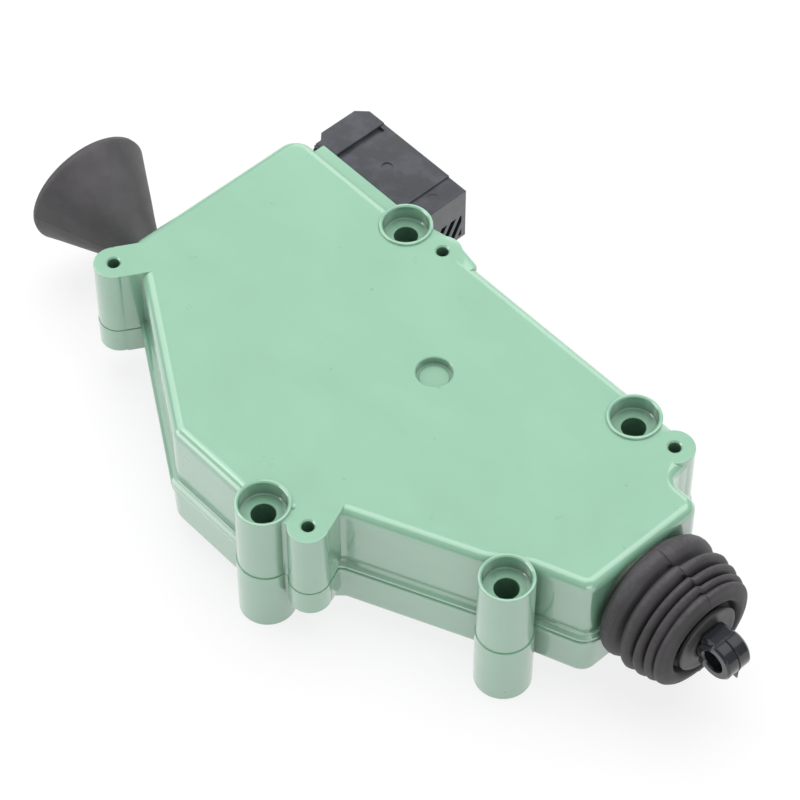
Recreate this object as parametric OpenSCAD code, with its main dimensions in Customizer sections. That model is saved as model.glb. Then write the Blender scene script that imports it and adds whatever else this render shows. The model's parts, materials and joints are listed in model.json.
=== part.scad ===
// Door latch actuator: a motor, a gear train and a rack push a rod out of a
// sealed two-part housing. The frame's origin is on the axis of the front
// mounting hole, in the plane of the mounting feet. The rod points along +X,
// the connector looks along +Y and the screw lobes and bosses stand along Z.

/* [Housing] */
// Distance from the front mounting hole to the left wall
left_l = 89.4; // [88:0.1:92]
// Distance from the front mounting hole to the end wall that the rod passes
end_l = 73.7; // [72:0.1:76]
// Distance from the front mounting hole to the long rear wall
rear_l = 92.9; // [92:0.1:94]
// Distance that the front wall stands in front of the mounting hole
front_l = 1.7; // [1:0.1:3]
// Height of the top face above the mounting feet
top_z = 42.4; // [42:0.1:44]
// Height of the parting plane
part_z = 20.4; // [20.2:0.1:20.8]
// Height of the underside of the lower shell
under_z = 5.6; // [5:0.1:5.8]
// Thickness of the shell walls
wall = 2; // [1.6:0.1:2.2]
// How far the lower shell's wall stands outside the upper one
lower_step = 1; // [0.6:0.1:1.2]
// How far the flanges at the parting plane stand outside the upper wall
flange_l = 1.6; // [1.3:0.1:2]
// Height of each flange
flange_h = 1.8; // [1.2:0.1:2.2]
// Thickness of the rubber seal between the shells
seal_t = 0.6; // [0.4:0.1:0.8]

/* [Mounting bosses] */
// Diameter of the mounting holes
mount_d = 6.4; // [6:0.1:7]
// Diameter of the counterbores
counter_d = 12.5; // [12:0.1:13]
// Depth of the counterbores
counter_depth = 4.8; // [4:0.1:6]
// Outer diameter of the bosses on the upper shell
boss_d = 14.6; // [14:0.1:15]
// Outer diameter of the boss feet on the lower shell
foot_d = 15.2; // [15:0.1:16]
// How far the boss rims stand above the top face
boss_rise = 0.8; // [0.4:0.1:1.2]

/* [Case screws] */
// Diameter of the screw holes in the upper shell
pilot_d = 3.3; // [3.2:0.05:3.4]
// Diameter of the screw holes in the lower shell
screw_hole_d = 4.3; // [4.2:0.1:4.6]
// Diameter of the screws below their threads
screw_d = 3.9; // [3.8:0.05:4]
// Diameter of the screw heads
screw_head_d = 7.4; // [7:0.1:8]
// Diameter of the screw lobes on the upper shell
lobe_d = 10.8; // [10.4:0.1:11.2]
// Height of the lobes' lower ends, where the screw heads sit
lobe_z = 12; // [11:0.1:13]

/* [Gear train] */
// Module of the motor pinion and the gear that it drives
fast_module = 0.8; // [0.79:0.005:0.81]
// Module of the second pair of gears
slow_module = 1; // [0.99:0.005:1.01]
// Module of the rack and its pinion
rack_module = 1.25; // [1.24:0.005:1.26]
// Width of the first gear
fast_w = 4; // [3.6:0.1:4.2]
// Width of the output gear
slow_w = 5.2; // [4.8:0.1:5.4]
// Diameter of the output gear's steel axle
output_axle_d = 4; // [3.8:0.1:4.4]
// Diameter of the middle gear's steel axle
middle_axle_d = 3; // [2.8:0.1:3.4]

/* [Rod] */
// Height of the rod's axis
rod_z = 26.9; // [26.6:0.1:27.2]
// Distance of the rod's axis from the front mounting hole, along Y
rod_y = 60.9; // [60.7:0.1:61.1]
// Diameter of the push rod
rod_d = 8; // [7.6:0.1:8.4]
// Stroke of the rod
stroke = 18; // [16:0.5:18]
// Thickness of the rack slider
slider_h = 7; // [6:0.1:7.2]
// How far the eye's centre stands out from the end wall with the rod in
eye_out = 28.3; // [27.5:0.1:30]
// Diameter of the hole in the eye
eye_hole_d = 6.2; // [5.8:0.1:6.6]
// Outer diameter of the eye
eye_d = 11.6; // [11.2:0.1:12.4]
// Width of the eye
eye_w = 8; // [7:0.1:9]
// Diameter of the collar behind the eye
collar_d = 19.4; // [18.8:0.1:20]

/* [Bellows] */
// Largest diameter of the bellows
bellows_d = 37.2; // [36:0.1:38]
// Thickness of the rubber
bellows_wall = 1.6; // [1.2:0.1:2]

/* [Motor] */
// Diameter of the motor's steel can
can_d = 31; // [30:0.1:31.4]
// Length of the motor's steel can
can_l = 21.6; // [21.2:0.1:21.8]
// Thickness of the can's sheet
can_wall = 1; // [0.8:0.1:1.2]
// Diameter of the motor shaft
shaft_d = 2; // [1.8:0.1:2.3]

/* [Connector] */
// Length of the connector housing along the wall
plug_l = 42.1; // [41.8:0.1:42.6]
// How far the connector housing stands out
plug_w = 19.8; // [18:0.1:22]
// Height of the connector housing
plug_h = 18.9; // [18.6:0.1:19.2]
// Width of each contact blade
blade_w = 2.8; // [2.4:0.1:3]
// Thickness of each contact blade
blade_t = 0.8; // [0.6:0.1:1]
// Thickness of the circuit board
board_t = 1.6; // [1.2:0.1:1.7]

/* [Vent funnel] */
// Largest diameter of the rubber funnel
funnel_d = 36.4; // [34:0.1:38]
// Length of the funnel from its tip to its rim
funnel_l = 36.5; // [34:0.1:38]
// Thickness of the funnel's rubber
funnel_wall = 2.2; // [1.8:0.1:2.6]

/* [Hidden] */

$fn = 64;
// A cut runs this far past the face that it opens
past = 1;
// Running clearance, on the radius, of a shaft or axle in its bore
run = 0.05;
// Clearance, on the radius, of an axle or blade held in plastic
held = 0.03;
// Clearance between a moving face and the face that it passes
pass = 0.3;

upper_z = part_z + seal_t / 2;
lower_z = part_z - seal_t / 2;
roof = wall + 0.2;
inner_top = top_z - roof;
inner_floor = under_z + wall;
rim_z = top_z + boss_rise;

// Mounting bosses and screw lobes, in order from the rear left
plug_boss_x = 45.4 - left_l;
BOSSES = [[plug_boss_x, rear_l - 4.1], [0, 0], [end_l - 16.2, 29.1], [end_l - 30.5, rear_l - 5.3]];
LOBES = [[2.7 - left_l, 23], [plug_boss_x + 13.1, rear_l - 3], [12.55, 3.85], [end_l - 17.05, rear_l - 4.4]];

// The outline of the upper wall, counterclockwise: x, y and corner radius
end_notch_x = end_l - 11.3;
end_notch_y = rear_l - 11.9;
rear_step = 2.8;
CORNERS = [
    [-left_l, rear_l - rear_step, 6], [-left_l, 31.5, 4], [11.6 - left_l, 25.5, 4],
    [-32.8, -front_l, 5], [1.7, -front_l, 4], [15.7, 13.3, 4],
    [end_l - 24.5, 28.7, 4], [end_l - 15, 36, 4], [end_l, 42, 4], [end_l, end_notch_y, 4],
    [end_notch_x, end_notch_y, 4], [end_notch_x, rear_l, 7.4],
    [plug_boss_x + 2, rear_l, 4], [plug_boss_x - 2, rear_l - rear_step, 4]];
corner_steps = 5;
// The arms that join two of the lobes to the wall: lobe, direction, length
ARMS = [[0, 60, 14], [2, 111.8, 16]];
arm_slack = 0.2;
arm_start = 3;
arm_step = 0.1;
// The lobes inside the rear wall, which reach down to the underside
DEEP_LOBES = [LOBES[1], LOBES[3]];

// Gears: tooth counts, axes and heights
motor_teeth = 10;
middle_teeth = 50;
middle_pinion_teeth = 12;
output_teeth = 42;
output_pinion_teeth = 14;
pressure = 20;
backlash = 0.14;
output_axis = [-2.2, 60.3];
middle_turn = 235;
motor_turn = 215;
middle_axis = output_axis + polar(slow_module * (output_teeth + middle_pinion_teeth) / 2, middle_turn);
motor_axis = middle_axis + polar(fast_module * (middle_teeth + motor_teeth) / 2, motor_turn);
rack_r = rack_module * output_pinion_teeth / 2;
washer_t = 0.5;
socket_h = 2.8;
output_socket_z = inner_floor + socket_h;
fast_z = 9.4;
slow_z = fast_z + fast_w + 1.2;
slider_z = rod_z - slider_h / 2;
output_pinion_top = slider_z + slider_h + 1.6;

// The slider and what guides it, at rest
slider_back = -38;
slider_front = 14;
slider_left = output_axis[1] - 14.4;
slider_right = 77.9;
window_x0 = -31;
window_x1 = 9;
tail_end = -70;
tail_w = 8;
guide_x0 = -52;
guide_x1 = -42;
buffer_t = slider_back - guide_x1 - pass;
front_stop_x = slider_front + stroke + pass + buffer_t;
boss_l = 10;
boss_r = 6.5;

// The motor, whose shaft points down
can_z = 15;
can_top = can_z + can_l;
cap_t = 1.8;
cap_top = can_top + cap_t;
magnet_in = can_d / 2 - can_wall - 2.6;
core_r = magnet_in - 0.4;
rim_w = 2.5;
core_z = 20;
core_h = 10;
brush_z = core_z + core_h + 2.4;
commutator_r = 3.2;
ring_h = 4;
cradle_r = can_d / 2 + 1.5;
cradle_wall = 1.6;
cradle_top = 19.8;

// The board, hung from the upper shell
board_z = inner_top - 5.8;
board_x0 = 4.4 - left_l;
board_x1 = -10;
board_y0 = rear_l - 38.9;
board_y1 = rear_l - 12.4;
POSTS = [[board_x0 + 3, board_y0 + 4], [board_x0 + 2.1, board_y1 - 4.5],
    [board_x1 - 4, board_y0 + 3.5], [board_x1 - 4, board_y1 - 3.5]];
track_t = 0.1;
TRACKS = [for (k = [0:2]) board_y1 - 14.5 + 4 * k];
TERMINALS = [-43, -33];

// The connector
plug_x0 = 1.2 - left_l;
plug_x1 = plug_x0 + plug_l;
plug_y0 = rear_l + 0.3;
plug_y1 = plug_y0 + plug_w;
plug_z0 = 18.5;
plug_z1 = plug_z0 + plug_h;
ledge_y = rear_l - 0.2;
ledge_drop = 1.2;
neck_x0 = plug_x0 + 4.3;
neck_x1 = plug_x0 + 34.1;
ledge_x0 = plug_x0 + 6.7;
neck_z1 = 34.3;
socket_x0 = plug_x0 + 3.6;
socket_x1 = plug_x0 + 33.7;
socket_z0 = 21;
socket_z1 = 35;
socket_depth = 14;
BLADES = [for (k = [0:3]) plug_x0 + 9.2 + 6 * k];
// Height of each row of blades and where its legs turn up to the board
ROWS = [[31, rear_l - 15.9], [24.5, rear_l - 19.9]];
blade_out = 7;

// The rod's end and the bellows
inner_end = end_l - wall;
eye_x = end_l + eye_out;
rod_back = slider_front;
rod_front = eye_x - 12;
spigot_r = 2.5;
collar_front = eye_x - 5.2;
collar_t = 1.5;
collar_hub_r = 6.5;
shank_r = 4.25;
snout_r = 12;
snout_x = end_l + 5.8;
guide_flange_r = 13.1;
// The folds: centre behind the collar's front, width and how far the crest
// stands inside the largest radius
FOLDS = [[17.7, 7, 0], [11.6, 4.5, 0.2], [7.9, 3.2, 0.8], [5.1, 3, 1.6], [2.6, 3.4, 2.4]];
fold_steps = 6;
valley = 3.8;

// The funnel's seat on the left wall and its tilt
funnel_seat = [1.3 - left_l, 39.8, 24.2];
funnel_rise = 7;
funnel_aside = 3.7;
funnel_tip_r = 0.9;
funnel_lip = 2.4;
neck_r = 4;
nipple_r = 2.4;

green = "mediumaquamarine";
rubber = "dimgray";
black = "darkslategray";
steel = "silver";
brass = "goldenrod";

function polar(r, a) = r * [cos(a), sin(a)];
function unit(v) = v / norm(v);
function outward(v) = [v[1], -v[0]];

// Points of one rounded corner between the sides p-q and q-s, grown outward
function corner(p, q, s, r, grow) =
    let (u = unit(q - p), v = unit(s - q),
        turn = atan2(u[0] * v[1] - u[1] * v[0], u * v),
        side = turn > 0 ? 1 : -1,
        rr = r + side * grow,
        n1 = outward(u), n2 = outward(v),
        mitre = (n1 + n2) / (1 + n1 * n2),
        centre = q + grow * mitre - side * rr * mitre,
        a = atan2(n1[1], n1[0]))
    [for (k = [0:corner_steps]) centre + side * rr * [cos(a + turn * k / corner_steps), sin(a + turn * k / corner_steps)]];

// The housing's outline, grown by a distance
function xy(c) = [c[0], c[1]];
function outline(grow) =
    let (n = len(CORNERS))
    [for (i = [0:n - 1])
        each corner(xy(CORNERS[(i + n - 1) % n]), xy(CORNERS[i]), xy(CORNERS[(i + 1) % n]), CORNERS[i][2], grow)];

module plate(grow, z0, z1) {
    translate([0, 0, z0])
        linear_extrude(z1 - z0)
            polygon(outline(grow));
}

module column(at, r, z0, z1) {
    translate([at[0], at[1], z0])
        cylinder(r = r, h = z1 - z0);
}

// A cylinder along X on the rod's axis
module bar(r, x0, x1) {
    translate([x0, rod_y, rod_z])
        rotate([0, 90, 0])
            cylinder(r = r, h = x1 - x0);
}

module box(x0, x1, y0, y1, z0, z1) {
    translate([x0, y0, z0])
        cube([x1 - x0, y1 - y0, z1 - z0]);
}

module tube(at, r1, r0, z0, z1) {
    difference() {
        column(at, r1, z0, z1);
        column(at, r0, z0 - past, z1 + past);
    }
}

// Half the angle that a tooth takes up at radius r
function involute(a) = tan(a) - a * PI / 180;
function tooth_half(teeth, module_, r) =
    let (pitch_r = teeth * module_ / 2,
        a = acos(min(1, pitch_r * cos(pressure) / r)))
    (PI / 2 / teeth - backlash / 2 / pitch_r + involute(pressure) - involute(a)) * 180 / PI;

// The outline of a spur gear with a tooth centred on the angle first
function gear_points(teeth, module_, first) =
    let (pitch_r = teeth * module_ / 2,
        base_r = pitch_r * cos(pressure),
        root_r = pitch_r - 1.3 * module_,
        tip_r = pitch_r + 0.9 * module_,
        low_r = max(base_r, root_r + 0.1),
        thin = teeth < 20 ? 0.72 : 1,
        flank = concat([[root_r, thin * tooth_half(teeth, module_, low_r)]],
            [for (k = [0:3]) let (r = low_r + (tip_r - low_r) * k / 3) [r, tooth_half(teeth, module_, r)]]))
    [for (i = [0:teeth - 1])
        let (c = first + 360 * i / teeth)
        each concat([for (f = flank) polar(f[0], c - f[1])], [for (k = [len(flank) - 1:-1:0]) polar(flank[k][0], c + flank[k][1])])];

module gear(at, teeth, module_, first, z0, z1) {
    translate([at[0], at[1], z0])
        linear_extrude(z1 - z0)
            polygon(gear_points(teeth, module_, first));
}

// The two-part housing
module bosses(r, z0, z1) {
    for (b = BOSSES)
        column(b, r, z0, z1);
}

module lobes(r, z0, z1) {
    for (l = LOBES)
        column(l, r, z0, z1);
    for (a = ARMS)
        translate([LOBES[a[0]][0], LOBES[a[0]][1], z0 + arm_step])
            rotate(a[1])
                translate([arm_start, arm_slack - r, 0])
                    cube([a[2] - arm_start, 2 * (r - arm_slack), z1 - z0 - 2 * arm_step]);
    // the rear lobe runs into the wall on both sides
    translate([LOBES[1][0], rear_l, z0 + arm_step])
        linear_extrude(z1 - z0 - 2 * arm_step)
            polygon([[-10, -3], [10, -3], [10, 0], [2.4, 1.45], [-2.4, 1.45], [-10, 0]]);
}

module along_funnel() {
    translate(funnel_seat)
        rotate([0, funnel_rise - 90, -funnel_aside])
            children();
}

// The notch in the flange and the seal, where the funnel's neck passes
module funnel_notch() {
    box(-left_l - flange_l - past, -left_l - 0.2, funnel_seat[1] - neck_r - 0.8,
        funnel_seat[1] + neck_r + 0.8, lower_z - past, upper_z + flange_h + past);
}

// The rod's opening, and the round seat of the bellows in the flange
module rod_opening() {
    bar(snout_r + 0.1, inner_end - 3, end_l + lower_step + flange_l + past);
    bar(bellows_d / 2 - 1.2, end_l + lower_step, end_l + lower_step + flange_l + past);
}
module upper_shell() {
    color(green)
        difference() {
            union() {
                difference() {
                    union() {
                        plate(0, upper_z, top_z);
                        plate(flange_l, upper_z, upper_z + flange_h);
                        box(ledge_x0, BOSSES[0][0], rear_l - 8, ledge_y, upper_z, top_z - ledge_drop);
                    }
                    funnel_notch();
                    plate(-wall, upper_z - past, inner_top);
                    box(neck_x0 - 0.1, neck_x1 + 0.1, rear_l - 12, rear_l + past, upper_z - past, neck_z1 + 0.1);
                    // the ledge over the connector
                    box(ledge_x0, BOSSES[0][0], rear_l - 4.1, rear_l + past, top_z - ledge_drop, rim_z + past);
                }
                bosses(boss_d / 2, upper_z, rim_z);
                lobes(lobe_d / 2, upper_z, top_z);
                // the sockets that hold the gears' axles
                column(output_axis, boss_r, output_pinion_top + washer_t + pass, inner_top + past);
                column(middle_axis, 3.8, slow_z + 8 + pass, inner_top + past);
                // the posts that carry the board, and a rib on the motor
                for (p = POSTS) {
                    column(p, 2.6, board_z + board_t, inner_top + past);
                    column(p, 1.2, board_z - 1, inner_top);
                }
                tube(motor_axis, can_d / 2 - 2.5, can_d / 2 - 4.1, cap_top + 1, inner_top + past);
                along_funnel()
                    translate([0, 0, -2])
                        cylinder(r = nipple_r, h = 8.5);
            }
            for (b = BOSSES) {
                column(b, mount_d / 2, upper_z - past, rim_z + past);
                column(b, counter_d / 2, rim_z - counter_depth, rim_z + past);
            }
            for (l = LOBES)
                column(l, pilot_d / 2, upper_z - past, top_z + past);
            // the round dimple over the output gear
            column(output_axis, 4.85, top_z - 2.4, top_z + past);
            column(output_axis, output_axle_d / 2 + held, upper_z, top_z - 3.8);
            column(middle_axis, middle_axle_d / 2 + held, upper_z, inner_top);
            rod_opening();
            along_funnel()
                translate([0, 0, -6])
                    cylinder(r = nipple_r / 2, h = 16);
        }
}

module lower_shell() {
    color(green)
        difference() {
            union() {
                difference() {
                    union() {
                        plate(lower_step, under_z, lower_z);
                        plate(flange_l, lower_z - flange_h, lower_z);
                    }
                    plate(lower_step - wall, inner_floor, lower_z + past);
                }
                bosses(foot_d / 2, 0, lower_z);
                lobes(lobe_d / 2 + 0.2, lobe_z, lower_z);
                for (l = DEEP_LOBES)
                    column(l, lobe_d / 2 + 0.2, under_z, lower_z);
                column(output_axis, 4.2, under_z + 1, output_socket_z);
                // the motor's cradle
                difference() {
                    union() {
                        tube(motor_axis, cradle_r + cradle_wall, cradle_r, under_z + 1, cradle_top);
                        tube(motor_axis, cradle_r + past, 11, can_z - 1.2, can_z);
                    }
                    column(middle_axis, fast_module * middle_teeth / 2 + 1.6, inner_floor, can_z - 1.2);
                    column(middle_axis, slow_module * middle_pinion_teeth / 2 + 2.4, inner_floor, cradle_top + past);
                }
                // the slider's guide, with a slot for its tail, and the front stop
                difference() {
                    box(guide_x0, guide_x1, rod_y - 8, rod_y + 8, under_z + 1, rod_z + 5);
                    box(guide_x0 - past, guide_x1 + past, rod_y - tail_w / 2 - 0.15, rod_y + tail_w / 2 + 0.15,
                        slider_z - 0.15, rod_z + 5 + past);
                }
                box(front_stop_x, front_stop_x + 3, slider_right - 9.4, slider_right, under_z + 1, rod_z + 4);
            }
            for (b = BOSSES)
                column(b, mount_d / 2, -past, lower_z + past);
            for (l = LOBES) {
                column(l, screw_hole_d / 2, lobe_z - past, lower_z + past);
                column(l, screw_head_d / 2 + pass, under_z - past, lobe_z);
            }
            column(output_axis, output_axle_d / 2 + held, under_z + 0.8, lower_z);
            column(middle_axis, middle_axle_d / 2 + held, under_z + 0.8, lower_z);
            rod_opening();
        }
}

module shell_seal() {
    color(rubber)
        difference() {
            plate(lower_step, lower_z, upper_z);
            plate(lower_step - wall, lower_z - past, upper_z + past);
            bosses(foot_d / 2 + 0.1, lower_z - past, upper_z + past);
            lobes(lobe_d / 2 + 0.3, lower_z - past, upper_z + past);
            rod_opening();
            funnel_notch();
        }
}

module case_screws() {
    head_h = 2.4;
    color(steel)
        for (l = LOBES)
            difference() {
                union() {
                    column(l, screw_head_d / 2, lobe_z - head_h, lobe_z);
                    column(l, screw_d / 2, lobe_z, lower_z);
                    column(l, pilot_d / 2 - held, lobe_z, upper_z + 12);
                }
                translate([l[0], l[1], lobe_z - head_h - past])
                    cylinder(r = 1.7, h = past + 1.4, $fn = 6);
            }
}

// The connector
module connector_housing() {
    band = 0.4;
    color(black)
        difference() {
            union() {
                translate([0, 0, plug_z0])
                    linear_extrude(plug_h - band)
                        polygon([[plug_x0 + 2, plug_y0], [plug_x1, plug_y0], [plug_x1, plug_y1],
                            [plug_x0 + 3, plug_y1], [plug_x0, plug_y1 - 3], [plug_x0, plug_y0 + 4.5], [plug_x0 + 2, plug_y0 + 2.5]]);
                translate([0, 0, plug_z0 + past])
                    linear_extrude(plug_h - past)
                        polygon([[plug_x0 + 9, plug_y0 + 0.6], [plug_x0 + 9, plug_y1], [plug_x0 + 3, plug_y1],
                            [plug_x0, plug_y1 - 3], [plug_x0, plug_y0 + 4.5], [plug_x0 + 2, plug_y0 + 2.5], [plug_x0 + 2, plug_y0 + 0.6]]);
                // the neck in the housing's wall, and the flange behind it
                box(neck_x0, neck_x1, rear_l - 6.8, plug_y0 + past, upper_z, neck_z1);
                box(neck_x0 - 1.6, neck_x1 + 1.6, rear_l - 6.8, rear_l - 2.8 - wall, upper_z, neck_z1 + 1.7);
            }
            box(socket_x0, socket_x1, plug_y1 - socket_depth, plug_y1 + past, socket_z0, socket_z1);
            column(BOSSES[0], foot_d / 2 + 0.4, plug_z0 - past, plug_z1 + past);
            // the groove beside the raised band, and the lower end
            box(plug_x0 + 9, plug_x0 + 11, plug_y0 + 1.6, plug_y1 - 1.6, plug_z1 - band - 0.9, plug_z1 + past);
            box(plug_x1 - 6.8, plug_x1 + past, plug_y0 - past, plug_y1 + past, plug_z1 - band - 0.6, plug_z1 + past);
            blade_slots();
            // the pocket in the end face, crossed by slanting ribs
            difference() {
                box(plug_x1 - 3, plug_x1 + past, plug_y0 + 5, plug_y1 - 2, plug_z0 + 2, plug_z1 - 3);
                for (k = [0:3])
                    translate([plug_x1 - 3 - past, plug_y0 + 2.5 + 4 * k, plug_z0])
                        rotate([-25, 0, 0])
                            cube([3 + past, 1.2, 30]);
            }
        }
}

module blade_slots() {
    for (x = BLADES, row = ROWS)
        box(x - blade_w / 2 - held, x + blade_w / 2 + held, rear_l - 12, plug_y1 - socket_depth + past,
            row[0] - blade_t / 2 - held, row[0] + blade_t / 2 + held);
}

module connector_seal() {
    color(rubber)
        difference() {
            box(neck_x0 - 2, neck_x1 + 1.4, ledge_y, plug_y0, upper_z, neck_z1 + 2);
            box(neck_x0 - held, neck_x1 + held, ledge_y - past, plug_y0 + past, upper_z - past, neck_z1 + held);
            column(BOSSES[0], foot_d / 2 + 0.4, upper_z - past, plug_z1 + past);
        }
}

module connector_pins() {
    color(brass)
        for (x = BLADES, row = ROWS) {
            box(x - blade_w / 2, x + blade_w / 2, row[1], plug_y1 - socket_depth + blade_out,
                row[0] - blade_t / 2, row[0] + blade_t / 2);
            box(x - blade_w / 2, x + blade_w / 2, row[1], row[1] + blade_t, row[0] - blade_t / 2, board_z + board_t + 0.6);
        }
}

// The circuit board and what it carries
module circuit_board() {
    color("darkgreen")
        difference() {
            box(board_x0, board_x1, board_y0, board_y1, board_z, board_z + board_t);
            for (p = POSTS)
                column(p, 1.2 + held, board_z - past, board_z + board_t + past);
            for (x = BLADES, row = ROWS)
                box(x - blade_w / 2 - held, x + blade_w / 2 + held, row[1] - held, row[1] + blade_t + held,
                    board_z - past, board_z + board_t + past);
            for (x = TERMINALS)
                box(x - 1 - held, x + 1 + held, board_y0 + 2.5 - held, board_y0 + 3 + held, board_z - past, board_z + board_t + past);
        }
}

module contact_tracks() {
    color("peru")
        for (y = TRACKS)
            box(-42, -18, y - 1.2, y + 1.2, board_z - track_t, board_z);
}

module thermistor() {
    color("chocolate")
        column([board_x0 + 15, board_y0 + 10], 4.6, board_z + board_t, board_z + board_t + 3);
}

module suppressor_capacitor() {
    color("khaki")
        box(board_x0 + 24, board_x0 + 35, board_y0 + 6, board_y0 + 10, board_z + board_t, board_z + board_t + 3.6);
}

// The motor
module motor_can() {
    nose_r = 4;
    color(steel)
        difference() {
            union() {
                column(motor_axis, can_d / 2, can_z, can_top);
                column(motor_axis, nose_r, can_z - 1, can_z + past);
            }
            column(motor_axis, can_d / 2 - can_wall, can_z + can_wall, can_top + past);
            column(motor_axis, 3 + held, can_z - 1 - past, can_z + 2);
        }
}

module motor_magnets() {
    color("dimgray")
        for (side = [0, 180])
            translate([motor_axis[0], motor_axis[1], core_z - 2])
                rotate([0, 0, side - 65])
                    rotate_extrude(angle = 130)
                        translate([magnet_in, 0])
                            square([can_d / 2 - can_wall - held - magnet_in, core_h + 4]);
}

module motor_end_cap() {
    color("white")
        difference() {
            union() {
                column(motor_axis, can_d / 2, can_top, cap_top);
                column(motor_axis, can_d / 2 - can_wall - held, can_top - 2.6, can_top + past);
            }
            tube(motor_axis, can_d / 2 - can_wall - 1.4, 4.4, can_top - 2.6 - past, can_top - 0.2);
            column(motor_axis, 3.6, can_top - 2.6 - past, can_top - 1.2);
            column(motor_axis, 2.4 + held, can_top - 2, cap_top + past);
        }
}

module motor_terminals() {
    color(brass)
        for (x = TERMINALS) {
            box(x - 1, x + 1, motor_axis[1] + 2, board_y0 + 3, cap_top, cap_top + 0.5);
            box(x - 1, x + 1, board_y0 + 2.5, board_y0 + 3, board_z - 0.8, cap_top + 0.5);
        }
}

module motor_brushes() {
    color("black")
        for (side = [-1, 1])
            translate([motor_axis[0] + side * (commutator_r + 1.6 + run), motor_axis[1], brush_z + 0.75])
                cube([3.2, 2.4, 1.5], center = true);
}

module brush_springs() {
    color(brass)
        for (side = [-1, 1])
            box(motor_axis[0] + side * (commutator_r + 3.5) - 0.2, motor_axis[0] + side * (commutator_r + 3.5) + 0.2,
                motor_axis[1] - 1.1, motor_axis[1] + 1.1, brush_z - 0.4, can_top - 0.2);
}

module front_bush() {
    color(brass)
        tube(motor_axis, 3, shaft_d / 2 + run, can_z - 1, can_z + 2);
}

module rear_bush() {
    color(brass)
        tube(motor_axis, 2.4, shaft_d / 2 + run, can_top - 1.2, cap_top);
}

module motor_ring() {
    color(rubber)
        tube(motor_axis, cradle_r, can_d / 2, cradle_top - ring_h, cradle_top);
}

module motor_shaft() {
    color(steel)
        column(motor_axis, shaft_d / 2, fast_z - 0.4, cap_top - 0.2);
}

module motor_pinion() {
    color(brass)
        difference() {
            gear(motor_axis, motor_teeth, fast_module, motor_turn + 180 + 180 / motor_teeth, fast_z - 0.2, fast_z + fast_w);
            column(motor_axis, shaft_d / 2 + 0.01, fast_z - past, fast_z + fast_w + past);
        }
}

module armature_core() {
    poles = 5;
    color("gray")
        translate([motor_axis[0], motor_axis[1], core_z])
            linear_extrude(core_h)
                difference() {
                    union() {
                        circle(r = 4.4);
                        for (k = [0:poles - 1])
                            rotate(360 / poles * k)
                                translate([0, -2])
                                    square([core_r - rim_w + 0.4, 4]);
                        difference() {
                            circle(r = core_r);
                            circle(r = core_r - rim_w);
                        }
                    }
                    circle(r = shaft_d / 2 + 0.01);
                    for (k = [0:poles - 1])
                        rotate(360 / poles * (k + 0.5))
                            translate([5, -1.2])
                                square([8, 2.4]);
                }
}

module armature_windings() {
    poles = 5;
    thick = 1;
    color("orangered")
        for (k = [0:poles - 1])
            translate([motor_axis[0], motor_axis[1], 0])
                rotate([0, 0, 360 / poles * k])
                    difference() {
                        box(5.2, core_r - rim_w - 0.6, -2 - thick, 2 + thick, core_z - 1.4, core_z + core_h + 1.4);
                        box(5.2 - past, core_r - rim_w - 0.6 + past, -2, 2, core_z, core_z + core_h);
                    }
}

module commutator() {
    color("peru")
        difference() {
            tube(motor_axis, commutator_r, shaft_d / 2 + 0.01, core_z + core_h + 1.6, can_top - 1.5);
            for (k = [0:4])
                translate([motor_axis[0], motor_axis[1], core_z + core_h + 2.2])
                    rotate([0, 0, 72 * k])
                        translate([commutator_r - 0.5, -0.15, 0])
                            cube([past, 0.3, 5]);
        }
}

// The gear train
module middle_axle() {
    color(steel)
        column(middle_axis, middle_axle_d / 2, under_z + 0.8, slow_z + 8 + pass + 8);
}

module middle_gear() {
    color("ivory")
        difference() {
            union() {
                gear(middle_axis, middle_teeth, fast_module, motor_turn, fast_z, fast_z + fast_w);
                gear(middle_axis, middle_pinion_teeth, slow_module, middle_turn + 180 + 180 / middle_pinion_teeth,
                    fast_z + fast_w - 0.5, slow_z + slow_w + 0.8);
                column(middle_axis, 3.4, inner_floor + washer_t + 0.1, slow_z + 8);
            }
            column(middle_axis, middle_axle_d / 2 + run, under_z, slow_z + 8 + past);
        }
}

module output_axle() {
    color(steel)
        column(output_axis, output_axle_d / 2, under_z + 0.8, top_z - 4);
}

module output_gear() {
    color("ivory")
        difference() {
            union() {
                gear(output_axis, output_teeth, slow_module, middle_turn, slow_z, slow_z + slow_w);
                gear(output_axis, output_pinion_teeth, rack_module, 90, slider_z - 1.4, output_pinion_top);
                column(output_axis, 5, output_socket_z + washer_t + 0.1, slider_z - 1.4);
            }
            column(output_axis, output_axle_d / 2 + run, under_z, output_pinion_top + past);
        }
}

module axle_washers() {
    color(steel) {
        tube(output_axis, 4.2, output_axle_d / 2 + run, output_socket_z, output_socket_z + washer_t);
        tube(middle_axis, 3.4, middle_axle_d / 2 + run, inner_floor, inner_floor + washer_t);
        tube(output_axis, 4.2, output_axle_d / 2 + run, output_pinion_top + pass, output_pinion_top + pass + washer_t);
    }
}

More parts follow.
